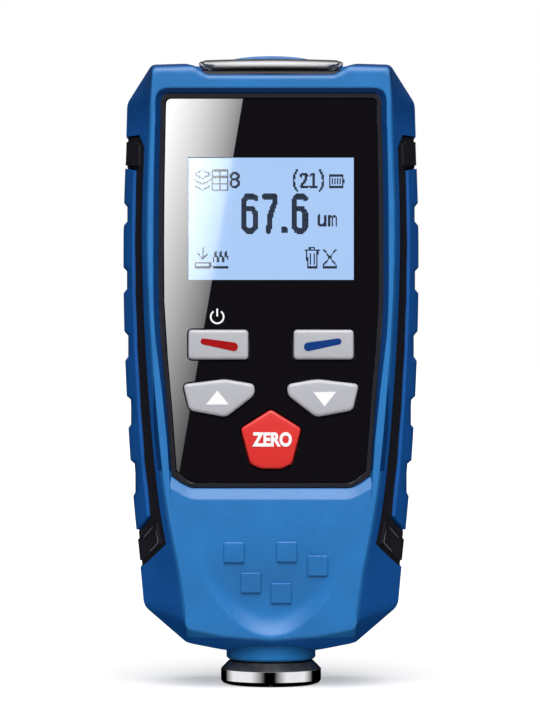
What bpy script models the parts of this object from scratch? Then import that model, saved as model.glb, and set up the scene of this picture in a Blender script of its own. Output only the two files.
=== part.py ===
"""Coating thickness gauge: a hand-held instrument that stands on its probe.

Lengths are in metres and +Z is up. The screen faces -Y, +X is to the right of someone who
reads it, and the origin lies on the probe axis, in the face of the probe foot.
The housing is one lofted surface between three outlines: the edge of the front face, the
silhouette at the parting line, and the back. Skins, shells and cuts are insets of it.
"""

import math

import bmesh
import bpy
import numpy as np
from mathutils import Matrix, Vector

MM = 0.001

# Clearances
GAP = 0.3 * MM                  # between pieces that touch
LENS_FIT = 0.2 * MM             # round the lens in its pocket
KEY_FIT = 0.25 * MM             # round each key in its hole

# Housing
BODY_BOTTOM = 5.65 * MM         # underside at the probe axis
TOP_BAND = 6.85 * MM            # from the lens's top edge to the top corners
TOP_CROWN = 0.65 * MM           # how far the top edge rises from its corners to the middle
SHOULDER_IN = 5.1 * MM          # top corners, in from the widest place
SHOULDER_DROP = 7.05 * MM       # height of the top corner facets in the silhouette
SIDE_BAND = 3.15 * MM           # from the lens's side edge to the edge of the front face
FACET = 4.5 * MM                # how far the side facets lean out from the front face
FACET_DEPTH = 9.5 * MM          # from the front face to the joint between the two halves
CREST = 0.7 * MM                # width of the rounded edge round the front face
CREST_DROP = 0.45 * MM
BACK_ROUND = 8.5 * MM           # length of the rounding towards the back
BACK_TUCK = 4.2 * MM            # how far it draws the outline in
CHIN_TOP = 34.0 * MM            # the face curves back below this height
CHIN_DROP = 1.5 * MM            # how far it has curved back after CHIN_LENGTH
CHIN_LENGTH = 23.0 * MM
SCOOP_LIFT = 3.75 * MM          # lowest point of the thumb scoop's rim, above the underside
SCOOP_HEIGHT = 11.5 * MM
SCOOP_DEPTH = 1.2 * MM
SCOOP_ROUND = 16.5 * MM         # the rim's height is its half width squared, over this
SQUARE = 3.6 * MM               # raised squares on the chin
SQUARE_RISE = 0.25 * MM
SQUARES = ((-6.6, 18.85), (2.8, 18.95), (8.3, 16.45), (-3.6, 13.35), (1.8, 11.45))
SKIN = 1.0 * MM                 # soft blue skin
WALL = 1.5 * MM                 # hard shell under it
FRONT_WALL = 1.4 * MM           # shell behind the lens
SIDE_ROWS = 9
SIDE_SHARES = (0.0, 0.134, 0.39, 0.778, 1.0)    # heights where the side's curve is set
FRONT_INSETS = (5.6, 3.6, 1.4, 0.0, 0.5)        # mm, front face's edge at those heights
SIDE_INSETS = (3.1, 2.0, 0.6, 0.0, 0.5)         # mm, silhouette at those heights

# Screen panel
LENS_BOTTOM = 37.0 * MM
LENS_SIDE = 4.25 * MM           # lens beyond the display on each side
LENS_CORNER = 2.1 * MM          # corner cut at the lower corners
LENS_SINK = 1.2 * MM            # lens face below the crest
LENS_THICK = 1.2 * MM
LENS_SHARES = (0.0, 0.196, 0.407, 0.647, 1.0)   # heights where the panel's side is set
LENS_INSETS = (2.25, 1.3, 0.15, 0.0, 0.35)      # mm, its edge at those heights
RIM = 0.85 * MM                 # hard lip round the lens
RIM_SINK = 1.0 * MM
BEVEL = 1.1 * MM                # slope from the lip up to the crest
DISPLAY_HALF = 14.8 * MM
DISPLAY_HEIGHT = 21.9 * MM
DISPLAY_LIFT = 8.9 * MM         # above the soft keys
DISPLAY_DROP = 10.4 * MM        # display's top edge below the lens's
DISPLAY_FRAME = 1.0 * MM
DISPLAY_THICK = 4.2 * MM

# Keys
KEY_RISE = 0.9 * MM             # cap above the lens
KEY_TRAVEL = 0.7 * MM
KEY_FLANGE = 0.6 * MM
KEY_SPACE = 3.4 * MM            # between the shell behind the lens and the board
STEM_RADIUS = 1.6 * MM
SOFT_KEY_LIFT = 21.9 * MM       # lower edge above the lens's lower edge
SOFT_KEY_HEIGHT = 5.3 * MM
KEY_INNER = 4.03 * MM
ARROW_LIFT = 11.6 * MM
ARROW_INNER = 2.9 * MM
ARROW_REACH = 0.95 * MM         # how far the arrow keys reach past the soft keys
ZERO_LIFT = 2.2 * MM
ZERO_HALF = 5.4 * MM
ZERO_HEIGHT = 10.8 * MM

# Board and mat
MAT_THICK = 0.6 * MM
BOARD_THICK = 1.6 * MM
BOARD_MARGIN = 1.25 * MM        # board beyond the lens on each side
BOARD_RISE = 4.5 * MM           # above the display
BOARD_POST = 1.8 * MM
SCREW_RADIUS = 0.9 * MM
CHIP_HEIGHT = 1.4 * MM
PART_SPACE = 3.9 * MM           # between the board and the battery bay
BUZZER_RADIUS = 4.2 * MM
BUZZER_HEIGHT = 3.4 * MM

# Grips, strips and pads on the flanks
STRIP_START = 2.4 * MM          # strip's front edge behind the front face
STRIP_DROP = 13.05 * MM         # strip's upper end below the top corners
STRIP_LIFT = 15.65 * MM         # strip's lower end above the underside
STRIP_SLANT = 4.6 * MM          # rise of the strip's lower end from side to front
STRIP_SINK = 0.4 * MM           # dark strip below the blue skin
GRIP_START = 6.05 * MM          # grip's front edge behind the front face
GRIP_INSET = 5.8 * MM           # grip's upper end below the strip's
GRIP_LIFT = 6.8 * MM            # grip's lower end above the strip's
GRIP_SLANT = 2.6 * MM
NOTCH_DEPTH = 0.65 * MM
NOTCH_COUNT = 5
NOTCH_HEIGHT = 4.1 * MM         # uppermost grip notch
NOTCH_GROWTH = 0.6 * MM         # how much taller each lower notch is
NOTCH_RUN = 0.75 * MM           # slope at each end of a notch
NOTCH_BACK = 7.5 * MM
PAD_HEIGHT = 3.7 * MM
PAD_BACK = 5.0 * MM
PAD_SINK = 0.1 * MM             # pad face below the blue skin

# Top cap
CAP_NOTCH_IN = 7.55 * MM        # notch floor's end, in from the lens's side edge
CAP_NOTCH_FLARE = 2.8 * MM
CAP_NOTCH_DEPTH = 2.2 * MM      # depth in which the notch flares by that much
CAP_NOTCH_DROP = 2.45 * MM
CAP_LIP = 0.5 * MM              # grey lip that stands above the blue notch floor
CAP_START = 4.0 * MM            # cap's front edge behind the front face
CAP_LENGTH = 11.5 * MM
CAP_RISE = 2.05 * MM
CAP_CROWN = 0.4 * MM
DOME_IN = 3.3 * MM              # dome's end, in from the notch floor's end
DOME_LIFT = 0.95 * MM           # where the dome's arc springs, above the top corners
DOME_RISE = 1.3 * MM

# Battery bay and door
CELL_RADIUS = 5.25 * MM
CELL_LENGTH = 44.5 * MM
CELL_PITCH = 11.2 * MM
CELL_SLACK = 0.6 * MM           # between the cells and the door
BAY_BOTTOM = 30.3 * MM
BAY_SIDE = 0.75 * MM            # between a cell and the side of the bay
BAY_WALL = 1.2 * MM
SPRING_SPACE = 3.4 * MM
PLATE = 0.4 * MM
DOOR_THICK = 1.4 * MM
DOOR_MARGIN = 1.9 * MM          # door edge outside the bay
DOOR_HEAD = 1.6 * MM            # further margin at the hinge
DOOR_SINK = 0.1 * MM
LATCH_HALF = 4.0 * MM
LATCH_LENGTH = 7.0 * MM
PLATE_MARGIN = 2.2 * MM         # hard back plate beyond the door
PLATE_LIFT = 11.85 * MM         # its lower edge above the underside
PLATE_DROP = 5.2 * MM           # its upper edge below the top corners

# Probe
COLLAR_RADIUS = 8.1 * MM
COLLAR_BOTTOM = 4.5 * MM
COLLAR_FLANGE = 1.0 * MM
FOOT_RADIUS = 9.1 * MM
FOOT_FACE = 8.0 * MM
FOOT_BAND = 2.75 * MM           # top of the straight band
FOOT_CHAMFER = 0.75 * MM
FOOT_NECK = 7.7 * MM
TUBE_RADIUS = 6.0 * MM
PROBE_BORE = 4.6 * MM
TUBE_TOP = 16.0 * MM
GROOVE_DEPTH = 0.9 * MM
NUT_RADIUS = 8.4 * MM
NUT_HEIGHT = 2.4 * MM
GUIDE_TOP = 26.5 * MM
TIP_RADIUS = 1.5 * MM
COIL_RADIUS = 4.2 * MM
COIL_LENGTH = 11.0 * MM
TIP_CLEAR = 0.05 * MM           # tip above the foot face when pushed in

# Case screws
POST_RADIUS = 2.6 * MM
HEAD_SINK = 2.6 * MM            # screw seat below the back

# Places that follow from the sizes
KEY_OUTER = DISPLAY_HALF - 0.05 * MM        # the soft keys line up with the display
ARROW_OUTER = KEY_OUTER + ARROW_REACH
LENS_HALF = DISPLAY_HALF + LENS_SIDE
HALF_WIDTH = LENS_HALF + SIDE_BAND + FACET
SHOULDER_HALF = HALF_WIDTH - SHOULDER_IN
DISPLAY_BOTTOM = LENS_BOTTOM + SOFT_KEY_LIFT + SOFT_KEY_HEIGHT + DISPLAY_LIFT
DISPLAY_TOP = DISPLAY_BOTTOM + DISPLAY_HEIGHT
LENS_TOP = DISPLAY_TOP + DISPLAY_DROP
BODY_TOP = LENS_TOP + TOP_BAND
DEPTH = (LENS_SINK + LENS_THICK + GAP + FRONT_WALL + KEY_SPACE + BOARD_THICK + PART_SPACE
         + BAY_WALL + GAP + 2 * CELL_RADIUS + CELL_SLACK + DOOR_THICK)
FRONT = -DEPTH / 2
BACK = DEPTH / 2
PARTING = FRONT + FACET_DEPTH               # y of the joint between the front and rear halves
UNDER = SKIN + GAP                          # inset of the hard shell's outside
INSIDE = UNDER + WALL                       # inset of the cavity
LENS_FACE = FRONT + LENS_SINK
LENS_BACK = LENS_FACE + LENS_THICK
POCKET = LENS_BACK + GAP
CAVITY_FRONT = POCKET + FRONT_WALL
BOARD_FRONT = CAVITY_FRONT + KEY_SPACE
BOARD_HALF = LENS_HALF + BOARD_MARGIN
BOARD_TOP = DISPLAY_TOP + BOARD_RISE
BOARD_BOTTOM = LENS_BOTTOM + 1.0 * MM
STRIP_FRONT = FRONT + STRIP_START
STRIP_TOP = BODY_TOP - STRIP_DROP
STRIP_BOTTOM = BODY_BOTTOM + STRIP_LIFT
GRIP_FRONT = FRONT + GRIP_START
GRIP_TOP = STRIP_TOP - GRIP_INSET
GRIP_BOTTOM = STRIP_BOTTOM + GRIP_LIFT
SCOOP_BOTTOM = BODY_BOTTOM + SCOOP_LIFT
NOTCH_HALF = LENS_HALF - CAP_NOTCH_IN
NOTCH_FLOOR = BODY_TOP - CAP_NOTCH_DROP
CAP_FRONT = FRONT + CAP_START
CAP_BACK = CAP_FRONT + CAP_LENGTH
DOME_HALF = NOTCH_HALF - DOME_IN
TOP_POST = (NOTCH_HALF + 0.5 * MM, BODY_TOP - 9.2 * MM)
LOW_POST = (COLLAR_RADIUS + 3.5 * MM, BODY_BOTTOM + 18.35 * MM)
BAY_HALF = CELL_PITCH / 2 + CELL_RADIUS + BAY_SIDE
CELL_Y = BACK - DOOR_THICK - CELL_SLACK - CELL_RADIUS
CELL_BOTTOM = BAY_BOTTOM + SPRING_SPACE
BAY_TOP = CELL_BOTTOM + CELL_LENGTH + PLATE + 2 * GAP
DOOR_HALF = BAY_HALF + DOOR_MARGIN
DOOR_BOTTOM = BAY_BOTTOM - DOOR_MARGIN
DOOR_TOP = BAY_TOP + DOOR_MARGIN + DOOR_HEAD
DOOR_FACE = BACK - DOOR_SINK
SEAT = BODY_BOTTOM + INSIDE + 0.5 * MM      # flat seat of the collar inside the housing


def clear_scene():
    """Remove every object that the file starts with."""
    for item in list(bpy.data.objects):
        bpy.data.objects.remove(item, do_unlink=True)


def material(name, color, roughness, metallic=0.0):
    """Make a Principled material."""
    made = bpy.data.materials.new(name)
    made.use_nodes = True
    shader = made.node_tree.nodes["Principled BSDF"]
    shader.inputs["Base Color"].default_value = (*color, 1.0)
    shader.inputs["Roughness"].default_value = roughness
    shader.inputs["Metallic"].default_value = metallic
    return made


def solid(name, vertices, faces, finish=None, origin=(0.0, 0.0, 0.0)):
    """Put a closed mesh into the scene, with its origin where the piece turns or slides."""
    shift = Vector(origin)
    mesh = bpy.data.meshes.new(name)
    mesh.from_pydata([Vector(v) - shift for v in vertices], [], faces)
    work = bmesh.new()
    work.from_mesh(mesh)
    bmesh.ops.remove_doubles(work, verts=work.verts, dist=0.001 * MM)
    bmesh.ops.recalc_face_normals(work, faces=work.faces)
    work.to_mesh(mesh)
    work.free()
    item = bpy.data.objects.new(name, mesh)
    bpy.context.collection.objects.link(item)
    item.location = shift
    if finish:
        mesh.materials.append(finish)
    return item


def combine(item, tool, operation):
    """Apply one exact Boolean and remove the tool."""
    bpy.context.view_layer.update()
    step = item.modifiers.new("combine", "BOOLEAN")
    step.operation = operation
    step.solver = "EXACT"
    step.object = tool
    graph = bpy.context.evaluated_depsgraph_get()
    result = bpy.data.meshes.new_from_object(item.evaluated_get(graph))
    item.modifiers.clear()
    old = item.data
    item.data = result
    bpy.data.meshes.remove(old)
    bpy.data.objects.remove(tool, do_unlink=True)
    return item


def cut(item, *tools):
    for tool in tools:
        combine(item, tool, "DIFFERENCE")
    return item


def add(item, *tools):
    for tool in tools:
        combine(item, tool, "UNION")
    return item


def keep(item, tool):
    return combine(item, tool, "INTERSECT")


def rings(name, stack, finish=None, origin=(0.0, 0.0, 0.0), ladder=False):
    """Skin a stack of matched rings.

    A ladder is for symmetric rings that start at the bottom middle: its ends join the left side
    to the right, row by row, and its twisted quads are split alike on both sides."""
    count = len(stack[0])
    vertices = [tuple(p) for ring in stack for p in ring]
    faces = []
    for level in range(len(stack) - 1):
        low = level * count
        for i in range(count):
            j = (i + 1) % count
            a, b, c, d = low + i, low + j, low + count + j, low + count + i
            if not ladder:
                faces.append((a, b, c, d))
            elif i < count // 2:
                faces += [(a, b, c), (a, c, d)]
            else:
                faces += [(a, b, d), (b, c, d)]
    for low in (0, (len(stack) - 1) * count):
        if ladder:
            half = count // 2
            for i in range(half):
                row = [low + i, low + i + 1, low + (count - i - 1) % count, low + (count - i) % count]
                faces.append(tuple(dict.fromkeys(row)))
        else:
            faces.append(tuple(range(low, low + count)))
    return solid(name, vertices, faces, finish, origin)


def along(axis, outline, place):
    """Turn a flat outline into points of a plane across the axis: X takes (y, z), Y (x, z), Z (x, y)."""
    if axis == "X":
        return [(place, a, b) for a, b in outline]
    if axis == "Y":
        return [(a, place, b) for a, b in outline]
    return [(a, b, place) for a, b in outline]


def prism(name, axis, outline, low, high, finish=None):
    """Extrude a flat outline along an axis."""
    return rings(name, [along(axis, outline, low), along(axis, outline, high)], finish)


def box(name, low, high, finish=None):
    outline = rectangle(low[0], high[0], low[2], high[2])
    return prism(name, "Y", outline, low[1], high[1], finish)


def rectangle(left, right, bottom, top):
    return [(left, bottom), (right, bottom), (right, top), (left, top)]


def mirrored(outline):
    return [(-a, b) for a, b in reversed(outline)]


def circle(radius, centre=(0.0, 0.0), count=24):
    turns = [2 * math.pi * (i + 0.5) / count for i in range(count)]
    return [(centre[0] + radius * math.cos(t), centre[1] + radius * math.sin(t)) for t in turns]


def turned(name, profile, count=48, finish=None, origin=(0.0, 0.0, 0.0)):
    """Turn a closed (radius, height) profile about the line through origin along Z."""
    turns = [2 * math.pi * i / count for i in range(count)]
    vertices = [(origin[0] + r * math.cos(t), origin[1] + r * math.sin(t), origin[2] + z)
                for r, z in profile for t in turns]
    faces = []
    for row in range(len(profile)):
        after = (row + 1) % len(profile)
        if profile[row][0] == 0.0 and profile[after][0] == 0.0:
            continue
        for i in range(count):
            j = (i + 1) % count
            faces.append((row * count + i, row * count + j, after * count + j, after * count + i))
    return solid(name, vertices, faces, finish, origin)


def tube(name, axis, centre, outer, inner, low, high, finish=None, count=24):
    """A plain tube along an axis."""
    piece = prism(name, axis, circle(outer, centre, count), low, high, finish)
    return cut(piece, prism("bore", axis, circle(inner, centre, count), low - GAP, high + GAP))


def rounded(outline, radius, steps=3):
    """Round each corner of an outline with an arc-like run of points."""
    points = []
    for i, corner in enumerate(outline):
        here = Vector(corner)
        before = (Vector(outline[i - 1]) - here)
        after = (Vector(outline[(i + 1) % len(outline)]) - here)
        reach = min(radius, 0.45 * before.length, 0.45 * after.length)
        start = here + before.normalized() * reach
        end = here + after.normalized() * reach
        for k in range(steps + 1):
            t = k / steps
            point = (1 - t) ** 2 * start + 2 * t * (1 - t) * here + t ** 2 * end
            points.append((point.x, point.y))
    return points


def grown(outline, distance):
    """Move each point of a counter-clockwise outline outwards along its mean normal."""
    points = np.array(outline)
    edge = np.roll(points, -1, axis=0) - points
    edge /= np.linalg.norm(edge, axis=1)[:, None]
    normal = np.stack([edge[:, 1], -edge[:, 0]], axis=1)
    mean = normal + np.roll(normal, 1, axis=0)
    mean /= (mean * normal).sum(axis=1)[:, None]
    return [tuple(p) for p in points + mean * distance]


def smooth(heights, knots):
    """Cubic curve through (height, value) knots, with the slope of the chord across each knot."""
    z, v = np.array(knots).T
    slope = np.gradient(v, z)
    k = np.clip(np.searchsorted(z, heights) - 1, 0, len(z) - 2)
    step = z[k + 1] - z[k]
    t = np.clip((heights - z[k]) / step, 0.0, 1.0)
    return ((2 * t**3 - 3 * t**2 + 1) * v[k] + (t**3 - 2 * t**2 + t) * step * slope[k]
            + (3 * t**2 - 2 * t**3) * v[k + 1] + (t**3 - t**2) * step * slope[k + 1])


def side_curve(low, high, half, shares, insets, rows):
    """Half widths at the given heights, from insets in mm at shares of the way up a side."""
    knots = [(low + share * (high - low), half - inset * MM) for share, inset in zip(shares, insets)]
    return smooth(rows, knots)


def body_outlines():
    """Half outlines, bottom to top, of the front face's edge and of the silhouette."""
    hip = BODY_BOTTOM + 15.25 * MM
    shoulder = BODY_TOP - 12.45 * MM
    rows = np.linspace(hip, shoulder, SIDE_ROWS)
    front_half = HALF_WIDTH - FACET
    front = side_curve(hip, shoulder, front_half, SIDE_SHARES, FRONT_INSETS, rows)
    side = side_curve(hip, shoulder, HALF_WIDTH, SIDE_SHARES, SIDE_INSETS, rows)
    hip_half = float(front[0])
    face = [(0.0, BODY_BOTTOM + 2.85 * MM), (8.4 * MM, BODY_BOTTOM + 3.5 * MM),
            (hip_half - 1.4 * MM, BODY_BOTTOM + 4.85 * MM),
            (hip_half - 0.9 * MM, BODY_BOTTOM + 8.65 * MM)]
    face += list(zip(front, rows))
    face += [(front_half - 0.6 * MM, BODY_TOP - SHOULDER_DROP),
             (front_half - 1.0 * MM, BODY_TOP - 1.05 * MM), (0.0, BODY_TOP - 0.4 * MM)]
    edge = [(0.0, BODY_BOTTOM), (8.4 * MM, BODY_BOTTOM + 0.55 * MM),
            (hip_half - 1.5 * MM, BODY_BOTTOM + 1.85 * MM),
            (float(side[0]) - 0.6 * MM, BODY_BOTTOM + 8.65 * MM)]
    edge += list(zip(side, rows))
    edge += [(HALF_WIDTH - 0.65 * MM, BODY_TOP - SHOULDER_DROP), (SHOULDER_HALF, BODY_TOP),
             (0.0, BODY_TOP + TOP_CROWN)]
    return np.array(face), np.array(edge)


def face_depth(heights):
    """y of the front face: flat, then a parabola that curves back down the chin."""
    below = np.clip((CHIN_TOP - heights) / CHIN_LENGTH, 0.0, None)
    return FRONT + CHIN_DROP * below ** 2


def skin_ring(outlines, depths, inset):
    """Ring of the housing's surface at the given y of each outline point, moved inwards by inset."""
    face, edge = outlines
    start = face_depth(face[:, 1]) + CREST_DROP
    depths = np.broadcast_to(depths, start.shape)
    share = np.clip((depths - start) / (PARTING - start), 0.0, 1.0)[:, None]
    half = face + (edge - face) * share
    past = np.clip((depths - BACK + BACK_ROUND) / BACK_ROUND, 0.0, 1.0)
    inset = inset + BACK_TUCK * (1.0 - np.sqrt(1.0 - 0.96 * past ** 2)) / 0.8
    left = half[1:-1][::-1] * (-1.0, 1.0)
    ring = np.vstack([half, left])
    distance = np.concatenate([inset, inset[1:-1][::-1]])
    moved = np.array(grown(ring, 1.0)) - ring
    ring = ring - moved * distance[:, None]
    deep = np.concatenate([depths, depths[1:-1][::-1]])
    return [(x, y, z) for (x, z), y in zip(ring, deep)]


def body(name, inset, low, high, finish=None):
    """The housing's form between two depths, or from its front face where low is None."""
    outlines = body_outlines()
    face = outlines[0][:, 1]
    if low is None:
        first = face_depth(face) + inset
        crest = skin_ring(outlines, first, inset + CREST)
        stack = [crest, skin_ring(outlines, first + CREST_DROP, inset)]
    else:
        stack = [skin_ring(outlines, low, inset)]
    for y in [PARTING] + [BACK - share * BACK_ROUND for share in (1.0, 0.59, 0.29, 0.11)]:
        if (low is None or y > low + GAP) and y < high - GAP:
            stack.append(skin_ring(outlines, y, inset))
    stack.append(skin_ring(outlines, high, inset))
    return rings(name, stack, finish, ladder=True)


def opening_outline(side, top, bottom, radius):
    """Outline of the screen panel, grown by the given amounts past the lens."""
    lower = LENS_BOTTOM + LENS_CORNER
    rows = np.linspace(lower, LENS_TOP - 6.0 * MM, 7)
    widths = side + side_curve(lower, LENS_TOP, LENS_HALF, LENS_SHARES, LENS_INSETS, rows)
    base = LENS_BOTTOM - bottom
    start = (LENS_HALF - 4.7 * MM, base)
    end = (widths[0], lower - bottom)
    swell = 0.2 * bottom
    half = [start, ((start[0] + end[0]) / 2 + swell, (base + end[1]) / 2 - swell), end]
    half += list(zip(widths[1:], rows[1:]))
    corner = (LENS_HALF - LENS_INSETS[-1] * MM + side, LENS_TOP + top)
    for k in range(5):
        turn = math.pi / 2 * k / 4
        half.append((corner[0] - radius * (1 - math.cos(turn)),
                     corner[1] - radius * (1 - math.sin(turn))))
    return half + mirrored(half)


def key_outlines():
    """Outline and name of each key, in front view."""
    soft = LENS_BOTTOM + SOFT_KEY_LIFT
    arrow = LENS_BOTTOM + ARROW_LIFT
    zero = LENS_BOTTOM + ZERO_LIFT
    soft_key = rectangle(KEY_INNER, KEY_OUTER, soft, soft + SOFT_KEY_HEIGHT)
    middle = (ARROW_INNER + ARROW_OUTER) / 2 - 1.3 * MM
    arrow_key = [(ARROW_INNER, arrow + 3.95 * MM), (middle, arrow),
                 (ARROW_OUTER - 1.1 * MM, arrow + 1.2 * MM), (ARROW_OUTER, arrow + 5.9 * MM),
                 (middle + 0.2 * MM, arrow + 6.8 * MM), (ARROW_INNER, arrow + 5.9 * MM)]
    waist = zero + 0.685 * ZERO_HEIGHT
    foot = 0.685 * ZERO_HALF
    zero_key = [(-foot, zero + 1.05 * MM), (-foot / 2, zero + 0.2 * MM), (foot / 2, zero + 0.2 * MM),
                (foot, zero + 1.05 * MM), (ZERO_HALF, waist), (0.0, zero + ZERO_HEIGHT),
                (-ZERO_HALF, waist)]
    return {
        "key_power": rounded(mirrored(soft_key), 0.8 * MM),
        "key_select": rounded(soft_key, 0.8 * MM),
        "key_up": rounded(mirrored(arrow_key), 1.0 * MM),
        "key_down": rounded(arrow_key, 1.0 * MM),
        "key_zero": rounded(zero_key, 0.5 * MM, 2),
    }


def centre_of(outline):
    """Middle of an outline's box."""
    points = np.array(outline)
    return (points.min(axis=0) + points.max(axis=0)) / 2


def make_keys(finishes):
    """Five keys: a cap through the lens and shell, a flange behind the wall, and a stem."""
    face = LENS_FACE - KEY_RISE
    flange = CAVITY_FRONT + GAP
    for name, outline in key_outlines().items():
        middle = centre_of(outline)
        spokes = np.array(outline) - middle
        spokes /= np.linalg.norm(spokes, axis=1)[:, None]
        stem = [tuple(p) for p in middle + STEM_RADIUS * spokes]
        wide = grown(outline, 0.6 * MM)
        stack = [along("Y", grown(outline, -0.35 * MM), face), along("Y", outline, face + 0.3 * MM),
                 along("Y", outline, flange), along("Y", wide, flange),
                 along("Y", wide, flange + KEY_FLANGE), along("Y", stem, flange + KEY_FLANGE),
                 along("Y", stem, stem_end())]
        origin = (middle[0], face, middle[1])
        rings(name, stack, finishes[name], origin)


def stem_end():
    """y of the keys' stems at rest: full travel leaves 0.1 mm to the mat."""
    return BOARD_FRONT - GAP - MAT_THICK - KEY_TRAVEL - 0.1 * MM


def make_mat(finish):
    """Silicone mat on the board, with a ring round each stem."""
    back = BOARD_FRONT - GAP
    front = back - MAT_THICK
    half = ARROW_OUTER - 0.65 * MM
    outline = rounded(rectangle(-half, half, BOARD_BOTTOM + 2.4 * MM,
                                LENS_BOTTOM + SOFT_KEY_LIFT + SOFT_KEY_HEIGHT + 0.8 * MM), 2.0 * MM)
    mat = prism("keypad_mat", "Y", outline, front, back, finish)
    for outline in key_outlines().values():
        middle = centre_of(outline)
        ring = tube("ring", "Y", tuple(middle), STEM_RADIUS + GAP + 0.9 * MM, STEM_RADIUS + GAP,
                    front - KEY_TRAVEL - 0.05 * MM, front + MAT_THICK / 2, count=16)
        add(mat, ring)


def make_lens(finish):
    """Glossy panel with a hole for each key."""
    lens = prism("lens_panel", "Y", opening_outline(0.0, 0.0, 0.0, 0.9 * MM), LENS_FACE, LENS_BACK, finish)
    for outline in key_outlines().values():
        cut(lens, prism("hole", "Y", grown(outline, KEY_FIT), LENS_FACE - GAP, LENS_BACK + GAP))


def make_display(finish):
    """Display module behind the lens, seated through the shell's front wall onto the board."""
    frame = DISPLAY_FRAME
    outline = rectangle(-DISPLAY_HALF - frame, DISPLAY_HALF + frame, DISPLAY_BOTTOM - 1.6 * frame,
                        DISPLAY_TOP + 1.6 * frame)
    back = BOARD_FRONT - GAP
    module = prism("lcd_module", "Y", outline, back - DISPLAY_THICK, back, finish)
    window = rectangle(-DISPLAY_HALF, DISPLAY_HALF, DISPLAY_BOTTOM, DISPLAY_TOP)
    face = back - DISPLAY_THICK
    cut(module, prism("window", "Y", window, face - GAP, face + 0.25 * MM))


def board_posts():
    upper = BOARD_TOP - 3.0 * MM
    return [(side * x, z) for side in (-1, 1)
            for x, z in ((BOARD_HALF - 2.2 * MM, upper), (BOARD_HALF - 3.0 * MM, BOARD_BOTTOM + 3.2 * MM))]


def case_posts():
    return [(side * x, z) for side in (-1, 1) for x, z in (TOP_POST, LOW_POST)]


def window_prism(name, back):
    """Side view of the opening in the blue skin that shows the dark shell."""
    outline = [(STRIP_FRONT, STRIP_BOTTOM + STRIP_SLANT), (PARTING, STRIP_BOTTOM), (back, STRIP_BOTTOM),
               (back, STRIP_TOP), (STRIP_FRONT + 2.1 * MM, STRIP_TOP), (STRIP_FRONT, STRIP_TOP - 2.4 * MM)]
    return across(name, outline)


def across(name, outline):
    """A side view, extruded through the whole width."""
    return prism(name, "X", outline, -2 * HALF_WIDTH, 2 * HALF_WIDTH)


def front_strip():
    """Side view of the raised strip on the front shell: it fills the skin's window up to the grip."""
    front = STRIP_FRONT + GAP
    grip = GRIP_FRONT - GAP
    back = PARTING
    outline = [(front, STRIP_BOTTOM + STRIP_SLANT + GAP / 2), (back, STRIP_BOTTOM + GAP),
               (back, GRIP_BOTTOM - GAP), (grip, GRIP_BOTTOM + GRIP_SLANT - GAP),
               (grip, GRIP_TOP - 0.5 * MM + GAP), (back, GRIP_TOP + GAP), (back, STRIP_TOP - GAP),
               (front + 2.0 * MM, STRIP_TOP - GAP), (front, STRIP_TOP - 2.4 * MM - GAP / 2)]
    return [across("strip", outline)]


def rear_strips():
    """Side views of the raised strips on the rear shell, above and below the grip."""
    back = PAD_BACK + 1.0 * MM - GAP
    return [across("strip", rectangle(PARTING - GAP, back, low + GAP, high - GAP))
            for low, high in ((GRIP_TOP, STRIP_TOP), (STRIP_BOTTOM, GRIP_BOTTOM))]


def pad_prisms():
    """Side view of the two pads: the upper one nearly level, the lower one slanted."""
    front = STRIP_FRONT + 2.1 * MM
    top = STRIP_TOP - 1.0 * MM
    upper = [(front, top - 0.8 * MM - PAD_HEIGHT), (PAD_BACK, top - PAD_HEIGHT), (PAD_BACK, top),
             (front + 2.0 * MM, top), (front, top - 0.8 * MM)]
    low = STRIP_BOTTOM + 1.3 * MM
    lower = [(front - 0.4 * MM, low + 3.4 * MM), (PARTING - 0.6 * MM, low), (PAD_BACK, low),
             (PAD_BACK, low + PAD_HEIGHT), (PARTING - 0.6 * MM, low + PAD_HEIGHT),
             (front - 0.4 * MM, low + 3.4 * MM + PAD_HEIGHT)]
    return [across("pad", outline) for outline in (upper, lower)]


def raise_flanks(shell, shapes, sink, low, high):
    """Raise the shell within side views to just under the blue skin, between two depths."""
    for shape in shapes:
        raised = keep(body("raised", sink, low, high), shape)
        hollow = body("hollow", UNDER + WALL / 2, low - GAP, high + GAP)
        add(shell, cut(raised, hollow))


def notch_prism(name, floor, half, front, back):
    """Cut for the top cap, flared upwards."""
    rise = BODY_TOP + 6.0 * MM - floor
    flare = CAP_NOTCH_FLARE * rise / CAP_NOTCH_DEPTH
    outline = [(-half, floor), (half, floor), (half + flare, floor + rise), (-half - flare, floor + rise)]
    return prism(name, "Y", outline, front, back)


def cap_bridge(low, high):
    """Thicker wall under the top cap."""
    half = NOTCH_HALF + 4.0 * MM
    bottom = BODY_TOP - INSIDE - 1.6 * MM
    top = BODY_TOP - UNDER - 1.05 * MM
    return box("bridge", (-half, low, bottom), (half, high, top))


def probe_hole(radius, low, high):
    return turned("probe_hole", [(0.0, low), (radius, low), (radius, high), (0.0, high)])


def scoop_depth(x, z):
    """Depth of the thumb scoop under the chin's surface at a point of the front view."""
    share = (z - SCOOP_BOTTOM) / SCOOP_HEIGHT
    if not 0.0 < share < 1.0:
        return 0.0
    across = x * x / (SCOOP_ROUND * share * SCOOP_HEIGHT)
    return max(0.0, 2.6 * SCOOP_DEPTH * math.sqrt(share) * (1.0 - share) * (1.0 - across))


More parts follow.
